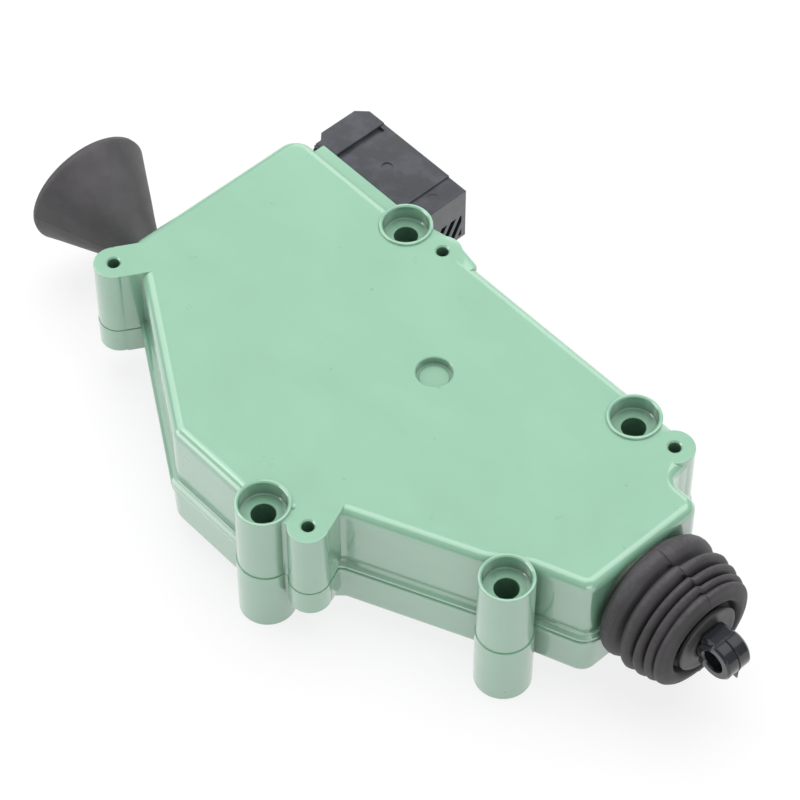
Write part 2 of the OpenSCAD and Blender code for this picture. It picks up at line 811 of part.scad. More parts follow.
// The rack slider, whose teeth lie on the far side of the pinion
module slider() {
    pitch = PI * rack_module;
    line_y = output_axis[1] + rack_r;
    root_y = line_y + 1.3 * rack_module;
    tip_y = line_y - 0.9 * rack_module;
    half = (pitch / 2 - backlash) / 2;
    lean = tan(pressure);
    teeth_back = -6;
    teeth_front = 1;
    color("ivory")
        difference() {
            union() {
                difference() {
                    box(slider_back, slider_front, slider_left, slider_right, slider_z, slider_z + slider_h);
                    box(window_x0, window_x1, slider_left + 3.4, root_y, slider_z - past, slider_z + slider_h + past);
                }
                for (k = [teeth_back:teeth_front])
                    translate([output_axis[0] + (k + 0.5) * pitch, 0, slider_z])
                        linear_extrude(slider_h)
                            polygon([[-half - lean * (root_y - line_y), root_y + 0.5], [-half - lean * (root_y - line_y), root_y],
                                [-half + lean * (line_y - tip_y), tip_y], [half - lean * (line_y - tip_y), tip_y],
                                [half + lean * (root_y - line_y), root_y], [half + lean * (root_y - line_y), root_y + 0.5]]);
                box(tail_end, slider_back + past, rod_y - tail_w / 2, rod_y + tail_w / 2, slider_z, slider_z + slider_h);
                bar(boss_r, slider_front - 2, slider_front + boss_l);
            }
            bar(rod_d / 2 + held, slider_front, slider_front + boss_l + past);
            column([slider_front + boss_l - 4, rod_y], 1.25 + held, slider_z - 10, slider_z + slider_h + 10);
        }
}

module contact_wiper() {
    base_t = 0.4;
    top = slider_z + slider_h;
    tip = board_z - track_t - pass;
    color(brass) {
        box(slider_back + 0.6, window_x0 - 0.6, TRACKS[0] - 1.6, TRACKS[2] + 1.6, top, top + base_t);
        for (y = TRACKS)
            translate([0, y + 0.8, 0])
                rotate([90, 0, 0])
                    linear_extrude(1.6)
                        polygon([[slider_back + 1.4, top + base_t - 0.1], [slider_back - 1.2, tip - 0.3], [slider_back - 2, tip],
                            [slider_back - 2.8, tip - 0.3], [slider_back - 2.6, tip - 0.7], [slider_back - 2, tip - 0.4],
                            [slider_back - 1.6, tip - 0.7], [slider_back + 0.8, top + base_t - 0.1]]);
    }
}

// The rod and its end
module push_rod() {
    color(steel)
        difference() {
            union() {
                bar(rod_d / 2, rod_back, rod_front);
                bar(spigot_r, rod_front - past, rod_front + 6);
            }
            column([slider_front + boss_l - 4, rod_y], 1.25 + held, rod_z - 10, rod_z + 10);
        }
}

module rod_pin() {
    color(steel)
        column([slider_front + boss_l - 4, rod_y], 1.25, rod_z - boss_r + 0.4, rod_z + boss_r - 0.4);
}

module rod_collar() {
    color("lightgray")
        difference() {
            union() {
                bar(collar_d / 2, collar_front - collar_t, collar_front);
                bar(collar_hub_r, collar_front - 7, collar_front);
            }
            bar(shank_r + held, collar_front - 7 - past, collar_front + past);
        }
}

module rod_eye() {
    color("black")
        difference() {
            union() {
                bar(shank_r, rod_front, eye_x - 2);
                translate([eye_x, rod_y + eye_w / 2, rod_z])
                    rotate([90, 0, 0])
                        cylinder(r = eye_d / 2, h = eye_w);
            }
            translate([eye_x, rod_y + eye_w / 2 + past, rod_z])
                rotate([90, 0, 0])
                    cylinder(r = eye_hole_d / 2, h = eye_w + 2 * past);
            bar(spigot_r + held, rod_front - past, rod_front + 6.2);
        }
}

// The bush that guides the rod and carries the bellows
module rod_guide() {
    color("ivory")
        difference() {
            union() {
                bar(guide_flange_r, inner_end - 2.4, inner_end - 0.1);
                bar(snout_r, inner_end - 0.5, snout_x);
                bar(6.5, inner_end - 10, inner_end);
            }
            bar(rod_d / 2 + run, inner_end - 10 - past, snout_x + past);
            // the hollow between the hub and the snout
            difference() {
                bar(snout_r - 2, inner_end + 2, snout_x + past);
                bar(6.5, inner_end, snout_x + 2 * past);
            }
        }
}

// The crests of the bellows, as half-rounds that stand on its valleys
function crest(fold, inset, skip) =
    let (r0 = bellows_d / 2 - fold[2] - valley, c = collar_front - fold[0])
    [for (k = [skip:fold_steps - skip])
        let (a = 180 * k / fold_steps - 90)
        [r0 + valley * cos(a) - inset, c + (fold[1] / 2 - inset / 3) * sin(a)]];

module bellows() {
    lip_r = bellows_d / 2 - 1.6;
    mouth_r = collar_hub_r + 0.1;
    outer = [for (f = FOLDS) each crest(f, 0, 1)];
    inner = [for (k = [len(FOLDS) - 1:-1:1]) let (f = crest(FOLDS[k], bellows_wall, 2)) each [for (i = [len(f) - 1:-1:0]) f[i]]];
    color(rubber)
        translate([0, rod_y, rod_z])
            rotate([90, 0, 90])
                rotate_extrude()
                    polygon(concat([[snout_r + 0.05, end_l + lower_step + 0.1], [lip_r, end_l + lower_step + 0.1], [lip_r, end_l + 2.3]], outer,
                        [[12.4, collar_front - 0.5], [10.5, collar_front - 1.6], [10.3, collar_front - 2], [mouth_r, collar_front - 2],
                            [mouth_r, collar_front - 4.4], [bellows_d / 2 - 7.6, collar_front - 4.4]], inner,
                        [[snout_r + 1.4, snout_x + 0.6], [snout_r + 0.05, snout_x + 0.4]]));
}

module stop_buffers() {
    color(rubber) {
        box(guide_x1, guide_x1 + buffer_t, rod_y - 8, rod_y - tail_w / 2 - 0.3, slider_z, slider_z + slider_h);
        box(guide_x1, guide_x1 + buffer_t, rod_y + tail_w / 2 + 0.3, rod_y + 8, slider_z, slider_z + slider_h);
        box(front_stop_x - buffer_t, front_stop_x, slider_right - 9.2, slider_right - 0.4, slider_z, slider_z + slider_h);
    }
}

module vent_funnel() {
    r1 = funnel_d / 2;
    cone_l = funnel_l - funnel_lip;
    slope = (r1 - funnel_tip_r) / cone_l;
    neck_l = (neck_r - funnel_tip_r) / slope;
    lip_steps = 5;
    lip = [for (k = [0:lip_steps]) let (a = 90 * k / lip_steps)
        [r1 - funnel_lip * (1 - cos(a)), cone_l + funnel_lip * sin(a)]];
    color(rubber)
        along_funnel()
            rotate_extrude()
                polygon(concat([[nipple_r + 0.1, 2], [neck_r, 2], [neck_r, neck_l]], lip,
                    [[r1 - funnel_lip - 0.4, funnel_l], [nipple_r + 0.1, neck_l + funnel_wall], [nipple_r + 0.1, 2.5]]));
}

upper_shell();
lower_shell();
shell_seal();
case_screws();
connector_housing();
connector_seal();
connector_pins();
circuit_board();
contact_tracks();
thermistor();
suppressor_capacitor();
motor_can();
motor_magnets();
motor_end_cap();
motor_terminals();
motor_brushes();
brush_springs();
front_bush();
rear_bush();
motor_ring();
motor_shaft();
motor_pinion();
armature_core();
armature_windings();
commutator();
middle_axle();
middle_gear();
output_axle();
output_gear();
axle_washers();
slider();
contact_wiper();
push_rod();
rod_pin();
rod_collar();
rod_eye();
rod_guide();
bellows();
stop_buffers();
vent_funnel();
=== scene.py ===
"""The looks of the door latch actuator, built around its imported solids.

Lengths in this file are millimetres unless a name says metres. The frame is
the solids' own: its origin is on the front mounting hole, in the feet's plane.
"""

import json
import math

import bmesh
import bpy
from bpy.props import FloatProperty, FloatVectorProperty, IntProperty, PointerProperty
from mathutils import Matrix, Vector, noise


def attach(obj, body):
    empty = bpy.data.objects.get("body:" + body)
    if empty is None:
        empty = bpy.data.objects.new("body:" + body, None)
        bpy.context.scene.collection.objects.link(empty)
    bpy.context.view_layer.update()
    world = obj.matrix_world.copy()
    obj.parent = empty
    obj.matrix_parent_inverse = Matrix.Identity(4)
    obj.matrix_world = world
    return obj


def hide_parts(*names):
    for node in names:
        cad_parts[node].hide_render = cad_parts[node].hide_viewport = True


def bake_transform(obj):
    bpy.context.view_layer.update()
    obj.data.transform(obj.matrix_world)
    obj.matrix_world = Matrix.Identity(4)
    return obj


bl_info = {
    "name": "Door latch actuator",
    "version": (1, 0, 0),
    "blender": (4, 5, 0),
    "location": "View3D > Sidebar > Actuator",
    "description": "Builds the visible pieces and finishes of a door latch actuator",
    "category": "Object",
}

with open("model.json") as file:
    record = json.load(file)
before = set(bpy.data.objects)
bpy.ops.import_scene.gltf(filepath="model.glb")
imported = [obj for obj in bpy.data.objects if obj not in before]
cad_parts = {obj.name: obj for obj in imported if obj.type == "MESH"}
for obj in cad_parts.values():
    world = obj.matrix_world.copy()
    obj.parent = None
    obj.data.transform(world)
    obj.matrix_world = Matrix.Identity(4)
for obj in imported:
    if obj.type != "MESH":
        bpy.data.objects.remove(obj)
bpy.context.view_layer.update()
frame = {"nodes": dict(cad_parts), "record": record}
MM = 0.001
UP, ALONG_ROD, ACROSS_ROD = (0, 0, 1), (1, 0, 0), (0, 1, 0)


def display_colour(red, green, blue):
    """The linear colour of a colour as it is seen on a screen, 0 to 255."""
    parts = []
    for part in (red, green, blue):
        part = part / 255
        parts.append(part / 12.92 if part <= 0.04045 else ((part + 0.055) / 1.055) ** 2.4)
    return tuple(parts)


# Sizes and colours

class HousingSizes(bpy.types.PropertyGroup):
    """Sizes of the moulded housing."""

    top_round: FloatProperty(name="Top edge radius", description="Rounding along the top edge",
        default=3.0 * MM, unit="LENGTH")
    bottom_round: FloatProperty(name="Bottom edge radius", description="Rounding along the underside",
        default=2.4 * MM, unit="LENGTH")
    rim_bevel: FloatProperty(name="Rim bevel", description="Bevel on the rims of bosses and lobes",
        default=0.4 * MM, unit="LENGTH")
    corner_steps: IntProperty(name="Corner steps", description="Faces in each rounded corner of the outline",
        default=8, min=3, max=16)
    round_steps: IntProperty(name="Column steps", description="Faces around a boss or a hole",
        default=72, min=24, max=128)


class RubberSizes(bpy.types.PropertyGroup):
    """Sizes of the bellows and the funnel."""

    wall: FloatProperty(name="Bellows wall", description="Thickness of the bellows' rubber",
        default=1.6 * MM, unit="LENGTH")
    seam: FloatProperty(name="Seam height", description="Height of the mould seams on the rubber",
        default=0.22 * MM, unit="LENGTH")
    turn_steps: IntProperty(name="Turn steps", description="Faces around a turned rubber piece",
        default=128, min=48, max=192)


class FinishColours(bpy.types.PropertyGroup):
    """Colours of the finishes."""

    green: FloatVectorProperty(name="Green plastic", description="Colour of the housing",
        subtype="COLOR", min=0, max=1, default=display_colour(150, 205, 173))
    rubber: FloatVectorProperty(name="Rubber", description="Colour of the rubber pieces",
        subtype="COLOR", min=0, max=1, default=display_colour(60, 58, 60))
    black: FloatVectorProperty(name="Black plastic", description="Colour of the connector",
        subtype="COLOR", min=0, max=1, default=display_colour(52, 55, 62))
    collar: FloatVectorProperty(name="Collar", description="Colour of the collar behind the eye",
        subtype="COLOR", min=0, max=1, default=display_colour(74, 72, 72))
    gear: FloatVectorProperty(name="Gear plastic", description="Colour of the gears and the slider",
        subtype="COLOR", min=0, max=1, default=display_colour(228, 224, 212))


class StudioSettings(bpy.types.PropertyGroup):
    """The plain studio."""

    daylight: FloatProperty(name="Ambient light", description="Strength of the light from all round",
        default=0.3, min=0, max=5)
    key: FloatProperty(name="Overhead lamp", description="Power of the large lamp above",
        default=13.2, unit="POWER", min=0)
    left: FloatProperty(name="Left lamp", description="Power of the lamp at the left",
        default=3.8, unit="POWER", min=0)
    right: FloatProperty(name="Right lamp", description="Power of the lamp at the right",
        default=2.2, unit="POWER", min=0)
    glint: FloatProperty(name="Edge lamps", description="Power of each lamp that shows only as a glint",
        default=2.4, unit="POWER", min=0)
    floor_size: FloatProperty(name="Floor size", description="Width of the floor",
        default=6.0, unit="LENGTH", min=1)


# Finishes

class Wire:
    """A number that runs through a material; its arithmetic adds Math nodes."""

    def __init__(self, finish, socket):
        self.finish = finish
        self.socket = socket

    def maths(self, operation, *values):
        return self.finish.node("ShaderNodeMath", 0, {"operation": operation}, dict(enumerate(values)))

    def __add__(self, other):
        return self.maths("ADD", self, other)

    __radd__ = __add__

    def __sub__(self, other):
        return self.maths("SUBTRACT", self, other)

    def __rsub__(self, other):
        return self.maths("SUBTRACT", other, self)

    def __mul__(self, other):
        return self.maths("MULTIPLY", self, other)

    __rmul__ = __mul__

    def above(self, level, width):
        """0 below level, 1 above it, with a soft step of that width between."""
        return self.finish.node("ShaderNodeMapRange", 0, {"interpolation_type": "SMOOTHSTEP"},
                                {0: self, 1: level - width / 2, 2: level + width / 2, 3: 0.0, 4: 1.0})


class Finish:
    """One material, and the nodes that it is made of."""

    def __init__(self, name):
        self.material = bpy.data.materials.new(name)
        self.material.use_nodes = True
        self.tree = self.material.node_tree
        self.tree.nodes.clear()
        self.place = self.node("ShaderNodeTexCoord", "Object")

    def node(self, kind, output=0, settings=None, inputs=None):
        """Adds a node with its settings, joins or sets its sockets, and gives one output."""
        made = self.tree.nodes.new(kind)
        for key, value in (settings or {}).items():
            if key == "stops":
                self.set_stops(made.color_ramp, value)
            else:
                setattr(made, key, value)
        for key, value in (inputs or {}).items():
            if isinstance(value, Wire):
                self.tree.links.new(value.socket, made.inputs[key])
            else:
                made.inputs[key].default_value = value
        return Wire(self, made.outputs[output])

    @staticmethod
    def set_stops(ramp, stops):
        while len(ramp.elements) < len(stops):
            ramp.elements.new(0.5)
        for element, (position, colour) in zip(ramp.elements, stops):
            element.position = position
            element.color = (*colour, 1.0)

    def clouds(self, size, detail=2.0, roughness=0.5, stretch=(1, 1, 1)):
        """Soft noise from 0 to 1 whose blobs are about size millimetres across."""
        where = self.node("ShaderNodeMapping", 0, {}, {0: self.place, 3: tuple(stretch)})
        return self.node("ShaderNodeTexNoise", "Fac", {}, {
            "Vector": where, "Scale": 1 / (size * MM), "Detail": detail, "Roughness": roughness})

    def specks(self, spacing, share):
        """Small round specks, 1 inside them."""
        cells = self.node("ShaderNodeTexVoronoi", "Distance", {"feature": "F1"},
                          {"Vector": self.place, "Scale": 1 / (spacing * MM)})
        return 1 - cells.above(share, share * 0.4)

    def mix(self, mask, first, second):
        """first where the mask is 0 and second where it is 1, as colours."""
        as_colour = [value if isinstance(value, Wire) else (*value[:3], 1.0) for value in (first, second)]
        return self.node("ShaderNodeMix", 2, {"data_type": "RGBA"},
                         {0: mask, 6: as_colour[0], 7: as_colour[1]})

    def dot(self, first, second):
        """The dot product of two vectors."""
        return self.node("ShaderNodeVectorMath", "Value", {"operation": "DOT_PRODUCT"}, {0: first, 1: second})

    def rounded(self, radius):
        """The surface's normal with its edges rounded, to a radius in millimetres."""
        return self.node("ShaderNodeBevel", 0, {"samples": 4}, {"Radius": radius * MM})

    def edge_highlight_mask(self, rounded_normal):
        """1 on the edges and 0 on the faces between them; the finishes lighten the colour there as a painted
        highlight.
        """
        flat = self.node("ShaderNodeNewGeometry", "Normal")
        return (1 - self.dot(rounded_normal, flat)).above(0.12, 0.2)

    def bump(self, height, depth, under=None):
        """Raises the surface by up to depth millimetres where height is 1."""
        inputs = {"Strength": 1.0, "Distance": depth * MM, "Height": height}
        if under is not None:
            inputs["Normal"] = under
        return self.node("ShaderNodeBump", 0, {}, inputs)

    def finish(self, colour, rough, normal=None, **constants):
        """Closes the material with a Principled shader."""
        shader = self.tree.nodes.new("ShaderNodeBsdfPrincipled")
        output = self.tree.nodes.new("ShaderNodeOutputMaterial")
        self.tree.links.new(shader.outputs[0], output.inputs[0])
        for key, value in {"Base Color": colour, "Roughness": rough, "Normal": normal}.items():
            if isinstance(value, Wire):
                self.tree.links.new(value.socket, shader.inputs[key])
            elif value is not None:
                shader.inputs[key].default_value = (*value, 1.0) if key == "Base Color" else value
        for key, value in constants.items():
            shader.inputs[key.replace("_", " ")].default_value = value
        return self.material


def shade(colour, factor):
    return tuple(min(1.0, part * factor) for part in colour[:3])


def moulded_plastic(name, colour, rough=0.42, edge=0.35, grain=0.35, grain_depth=0.012,
                    dust=0.25, cloud=0.0, recess=0.0, **constants):
    """Moulded plastic: fine grain, slow waves, faint flow clouds, edges made paler as a painted highlight, and
    recesses darkened as painted shade where recess is set.
    """
    f = Finish(name)
    rounded = f.rounded(edge)
    edges = f.edge_highlight_mask(rounded)
    clouds = f.clouds(22, 3)
    flow = f.clouds(9, 2, stretch=(0.35, 1, 1))
    body = f.mix(clouds.above(0.5, 0.6), shade(colour, 0.965), shade(colour, 1.03))
    body = f.mix(flow.above(0.62, 0.3) * 0.35, body, shade(colour, 0.94))
    if cloud:
        worn = f.clouds(5, 4, 0.6).above(0.55, 0.25)
        body = f.mix(worn * cloud, body, shade(colour, 2.4))
    # painted highlight: the edges are lightened in the colour
    body = f.mix(edges * 0.4, body, shade(colour, 1.3))
    # painted shade: the colour is darkened where ambient occlusion finds a recess, groove or crease
    if recess:
        open_sky = f.node("ShaderNodeAmbientOcclusion", "AO", {"samples": 6, "only_local": True},
                          {"Distance": 12 * MM})
        body = f.mix((1 - open_sky.above(0.5, 0.9)) * recess, body, shade(colour, 0.35))
    if dust:
        dusty = f.specks(2.3, 0.09) * f.clouds(14).above(0.52, 0.1)
        body = f.mix(dusty * dust, body, shade(colour, 1.5))
    fine = f.clouds(grain, 2, 0.6)
    waves = f.clouds(16, 1)
    normal = f.bump(fine, grain_depth, f.bump(waves, 0.05, rounded))
    return f.finish(body, rough - 0.06 + 0.12 * f.clouds(6, 3), normal, **constants)


def soft_rubber(name, colour, rough=0.62, grain_depth=0.03, bloom=0.5,
                folded=False, dust=0.2, parting=None):
    """Moulded rubber: a matt skin with a pale bloom, fine pores, dust and edges made paler as a painted highlight;
    folded rubber also gets painted shade in its valleys and lighter crest tops that are part rubbed wear, part
    painted sheen.
    """
    f = Finish(name)
    rounded = f.rounded(0.3)
    edges = f.edge_highlight_mask(rounded)
    bloomed = f.clouds(7, 4, 0.6).above(0.55, 0.35)
    body = f.mix(bloomed * bloom, shade(colour, 0.88), shade(colour, 1.35))
    # painted highlight: the edges are lightened in the colour
    body = f.mix(edges * 0.4, body, shade(colour, 1.7))
    if folded:
        crest = f.node("ShaderNodeAttribute", "Fac", {"attribute_name": "crest"})
        # painted shade: the valleys between the folds are darkened, away from the crests
        body = f.mix(1 - crest.above(0.45, 0.7), body, shade(colour, 0.45))
        # the crest tops are lightened in patches: part rubbed wear, part painted sheen
        rubbed_wear_and_sheen = crest.above(0.93, 0.1) * f.clouds(1.2, 3).above(0.45, 0.3)
        body = f.mix(rubbed_wear_and_sheen * 0.22, body, shade(colour, 2.2))
    body = f.mix(f.specks(1.1, 0.12) * f.clouds(9).above(0.5, 0.1) * dust, body, shade(colour, 3.2))
    pores = f.clouds(0.5, 3, 0.65)
    drag = f.clouds(3, 2)
    normal = f.bump(pores, grain_depth, f.bump(drag, 0.08, rounded))
    if parting:
        # the line that the mould's halves left, where a plane cuts the surface
        across, offset = parting
        height = f.dot(f.place, tuple(across)) - offset * MM
        line = 1 - height.maths("ABSOLUTE", height).above(0.14 * MM, 0.12 * MM)
        body = f.mix(line * 0.6, body, shade(colour, 0.3))
        normal = f.bump(1 - line, 0.1, normal)
    return f.finish(body, rough + 0.14 * f.clouds(4, 3), normal, Specular_IOR_Level=0.5)


def drawn_metal(name, colour, rough=0.28, stretch=(1, 1, 0.05), line=0.25, wear=0.5, depth=0.008):
    """Metal with fine drawing lines, dull patches and edges made bright as a painted highlight."""
    f = Finish(name)
    rounded = f.rounded(0.15)
    edges = f.edge_highlight_mask(rounded)
    lines = f.clouds(line, 3, 0.6, stretch)
    dull = f.clouds(5, 4, 0.6).above(0.55, 0.4)
    body = f.mix(dull * wear, colour, shade(colour, 0.78))
    # painted highlight: the edges are lightened in the colour
    body = f.mix(edges * 0.5, body, shade(colour, 1.25))
    normal = f.bump(lines, depth, rounded)
    return f.finish(body, rough + 0.12 * lines + 0.15 * dull, normal, Metallic=1.0)


def wound_wire(name, colour):
    """Enamelled copper wire laid side by side."""
    f = Finish(name)
    strands = f.node("ShaderNodeTexWave", "Fac", {"bands_direction": "Z"}, {
        "Vector": f.place, "Scale": 1 / (1.2 * MM), "Distortion": 0.6, "Detail": 1.0, "Detail Scale": 0.4})
    # painted shade: the grooves between the strands are darkened
    body = f.mix(strands, shade(colour, 0.45), colour)
    return f.finish(body, 0.26 + 0.2 * f.clouds(2), f.bump(strands, 0.12), Metallic=0.75, Coat_Weight=0.6)


def stacked_sheets(name, colour):
    """A stack of stamped steel sheets."""
    f = Finish(name)
    sheets = f.node("ShaderNodeTexWave", "Fac", {"bands_direction": "Z", "wave_profile": "SAW"},
                    {"Vector": f.place, "Scale": 1 / (3.2 * MM)})
    body = f.mix(sheets * 0.6 + 0.4 * f.clouds(1.5), shade(colour, 0.6), colour)
    return f.finish(body, 0.45 + 0.2 * f.clouds(1.2), f.bump(sheets, 0.05, f.rounded(0.12)), Metallic=0.85)


def printed_board(name, colour):
    """A circuit board with its weave under solder resist, and copper paths that show through."""
    f = Finish(name)
    weave = f.clouds(0.9, 1, stretch=(1, 0.3, 1)) * 0.5 + f.clouds(0.9, 1, stretch=(0.3, 1, 1)) * 0.5
    parts = f.node("ShaderNodeTexVoronoi", "Distance", {"feature": "DISTANCE_TO_EDGE"},
                   {"Vector": f.place, "Scale": 1 / (9 * MM), "Randomness": 0.55})
    paths = 1 - parts.above(0.07, 0.02)
    body = f.mix(paths, colour, shade(colour, 1.8))
    body = f.mix(weave.above(0.5, 0.2) * 0.25, body, shade(colour, 0.7))
    normal = f.bump(paths, 0.035, f.bump(weave, 0.01, f.rounded(0.1)))
    return f.finish(body, 0.3 + 0.15 * weave, normal, Coat_Weight=0.3)


def pressed_powder(name, colour, rough=0.6, metallic=0.0, grain=0.3):
    """A pressed or cast part with a grainy skin: magnets, brushes and components."""
    f = Finish(name)
    grains = f.clouds(grain, 4, 0.7)
    patches = f.clouds(3, 3)
    rounded = f.rounded(0.25)
    body = f.mix(grains.above(0.5, 0.3), shade(colour, 0.8), shade(colour, 1.15))
    body = f.mix(patches.above(0.5, 0.4) * 0.3, body, shade(colour, 0.75))
    # painted highlight: the edges are lightened in the colour
    body = f.mix(f.edge_highlight_mask(rounded) * 0.4, body, shade(colour, 1.5))
    return f.finish(body, rough + 0.2 * grains, f.bump(grains, 0.03, rounded), Metallic=metallic)


made_finishes = {}


def finish_named(name):
    """The finish of one of the record's material slots, made once."""
    if name in made_finishes:
        return made_finishes[name]
    colours = bpy.context.scene.actuator_colours
    grey = display_colour(150, 152, 154)
    makers = {
        # the housing's green gets painted shade in its recesses and a painted highlight on its edges
        "green_plastic": lambda: moulded_plastic(
            name, colours.green, 0.3, grain_depth=0.003, dust=0.0, recess=0.85,
            Specular_IOR_Level=1.0, Coat_Weight=1.0, Coat_Roughness=0.07, Coat_IOR=2.05),
        "black_plastic": lambda: moulded_plastic(
            name, colours.black, 0.34, edge=0.3, grain_depth=0.01, dust=0.3, cloud=0.45,
            Coat_Weight=0.6, Coat_Roughness=0.16, Coat_IOR=1.7),
        "gloss_black": lambda: moulded_plastic(
            name, shade(colours.black, 0.55), 0.2, edge=0.3, grain=0.6, grain_depth=0.004, dust=0.05,
            Coat_Weight=0.5, Coat_Roughness=0.1),
        "grey_plastic": lambda: moulded_plastic(name, colours.collar, 0.45, edge=0.3),
        "white_plastic": lambda: moulded_plastic(name, colours.gear, 0.35, edge=0.2, grain=0.5),
        "black_rubber": lambda: soft_rubber(name, colours.rubber),
        # the bellows' finish paints shade in the valleys and a part painted sheen on the crests
        "folded_rubber": lambda: soft_rubber(
            name, shade(colours.rubber, 1.4), 0.48, folded=True, parting=BELLOWS_PARTING),
        "bloomed_rubber": lambda: soft_rubber(
            name, shade(colours.rubber, 2.0), 0.46, bloom=0.4, dust=0.03, parting=FUNNEL_PARTING),
        "zinc_steel": lambda: drawn_metal(name, display_colour(178, 182, 184), 0.34, (1, 1, 1), 1.5, 0.7),
        "bright_steel": lambda: drawn_metal(name, display_colour(196, 198, 200), 0.18, (0.06, 1, 1)),
        "tinned_brass": lambda: drawn_metal(name, display_colour(206, 192, 148), 0.26, (1, 0.08, 1)),
        "bronze": lambda: drawn_metal(name, display_colour(184, 134, 82), 0.4, (1, 1, 1), 0.4),
        "copper": lambda: drawn_metal(name, display_colour(200, 122, 88), 0.3, (1, 1, 0.08)),
        "board": lambda: printed_board(name, display_colour(30, 92, 60)),
        "ceramic": lambda: pressed_powder(name, display_colour(150, 84, 48), 0.4),
        "film_box": lambda: pressed_powder(name, display_colour(196, 168, 84), 0.3, grain=0.6),
        "magnet": lambda: pressed_powder(name, display_colour(74, 74, 78), 0.5, 0.2),
        "lamination": lambda: stacked_sheets(name, grey),
        "enamelled_copper": lambda: wound_wire(name, display_colour(176, 84, 40)),
        "carbon": lambda: pressed_powder(name, display_colour(42, 42, 44), 0.45, 0.3),
    }
    made_finishes[name] = makers[name]()
    return made_finishes[name]


# Modelling

def only(obj):
    """Leaves edit mode and selects obj alone."""
    nothing()
    obj.select_set(True)
    bpy.context.view_layer.objects.active = obj


def nothing():
    if bpy.context.mode != "OBJECT":
        bpy.ops.object.mode_set(mode="OBJECT")
    bpy.ops.object.select_all(action="DESELECT")


def begin(obj, name):
    """Names a new primitive and opens it for editing with nothing selected."""
    obj.name = name
    obj.data.name = name
    bpy.ops.object.mode_set(mode="EDIT")
    bpy.ops.mesh.select_all(action="DESELECT")


def select_everything():
    bpy.ops.mesh.select_all(action="SELECT")


def settle(obj):
    """Ends the editing: doubles merged, normals outward, place in the mesh."""
    bpy.ops.object.mode_set(mode="EDIT")
    select_everything()
    bpy.ops.mesh.remove_doubles(threshold=0.002 * MM)
    bpy.ops.mesh.normals_make_consistent(inside=False)
    bpy.ops.object.mode_set(mode="OBJECT")
    only(obj)
    bpy.ops.object.transform_apply()
    return obj


def place_ring(mesh, ring, order):
    """Moves the selected vertices to a ring's points, each by the vertex that it came from."""
    drawn = bmesh.from_edit_mesh(mesh)
    chosen = [v for v in drawn.verts if v.select]
    new_order = {}
    for v in chosen:
        if order:
            source = next(e.other_vert(v) for e in v.link_edges if not e.other_vert(v).select)
            new_order[v] = order[source.index]
        else:
            new_order[v] = v.index
        v.co = Vector(ring[new_order[v]]) * MM
    drawn.verts.index_update()
    bmesh.update_edit_mesh(mesh)
    return {v.index: k for v, k in new_order.items()}


def ring_stack(name, rings):
    """A piece extruded from ring to ring. All the rings have the same number of points."""
    nothing()
    bpy.ops.mesh.primitive_circle_add(vertices=len(rings[0]), radius=10 * MM)
    obj = bpy.context.object
    begin(obj, name)
    bpy.ops.mesh.select_mode(type="EDGE")
    select_everything()
    bpy.ops.mesh.edge_face_add()
    place_ring(obj.data, rings[0], None)
    bpy.ops.mesh.duplicate()
    # the copy of the first ring's face goes, and its edges go on to be extruded
    bpy.ops.mesh.delete(type="ONLY_FACE")
    drawn = bmesh.from_edit_mesh(obj.data)
    drawn.verts.ensure_lookup_table()
    loose = [v for v in drawn.verts if not v.link_faces]
    order = {v.index: k for k, v in enumerate(loose)}
    for v in drawn.verts:
        v.select_set(v.index in order)
    drawn.select_flush(True)
    bmesh.update_edit_mesh(obj.data)
    for ring in rings[1:]:
        bpy.ops.mesh.extrude_region_move()
        order = place_ring(obj.data, ring, order)
    bpy.ops.mesh.edge_face_add()
    return settle(obj)


def turned(name, profile, origin, axis, steps=None, closed=False):
    """A piece spun about an axis from its profile, points of (distance along, radius)."""
    steps = steps or bpy.context.scene.actuator_housing.round_steps
    origin, axis = Vector(origin) * MM, Vector(axis).normalized()
    side = axis.orthogonal().normalized()
    points = [origin + (axis * along + side * radius) * MM for along, radius in profile]
    if closed:
        points.append(points[0])
    nothing()
    bpy.ops.mesh.primitive_plane_add(size=MM)
    obj = bpy.context.object
    begin(obj, name)
    bpy.ops.mesh.select_mode(type="VERT")
    select_everything()
    bpy.ops.mesh.merge(type="CENTER")
    select_everything()
    bpy.ops.transform.translate(value=points[0])
    for here, there in zip(points, points[1:]):
        bpy.ops.mesh.extrude_region_move(TRANSFORM_OT_translate={"value": there - here})
    select_everything()
    bpy.ops.mesh.spin(steps=steps, angle=2 * math.pi, center=origin, axis=axis)
    return settle(obj)


def upright(name, profile, at, steps=None, closed=False):
    """A piece spun about an upright axis, its profile points of (height, radius)."""
    return turned(name, profile, (*at, 0), UP, steps, closed)


def block(name, x0, x1, y0, y1, z0, z1, bevel=0.0, segments=2):
    """A box between two corners, with its edges bevelled."""
    nothing()
    centre = Vector(((x0 + x1) / 2, (y0 + y1) / 2, (z0 + z1) / 2)) * MM
    size = ((x1 - x0) * MM, (y1 - y0) * MM, (z1 - z0) * MM)
    bpy.ops.mesh.primitive_cube_add(size=1, location=centre, scale=size)
    obj = bpy.context.object
    obj.name = name
    bpy.ops.object.transform_apply()
    if bevel:
        begin(obj, name)
        select_everything()
        bpy.ops.mesh.bevel(offset=bevel * MM, segments=segments, affect="EDGES")
        bpy.ops.object.mode_set(mode="OBJECT")
    return obj


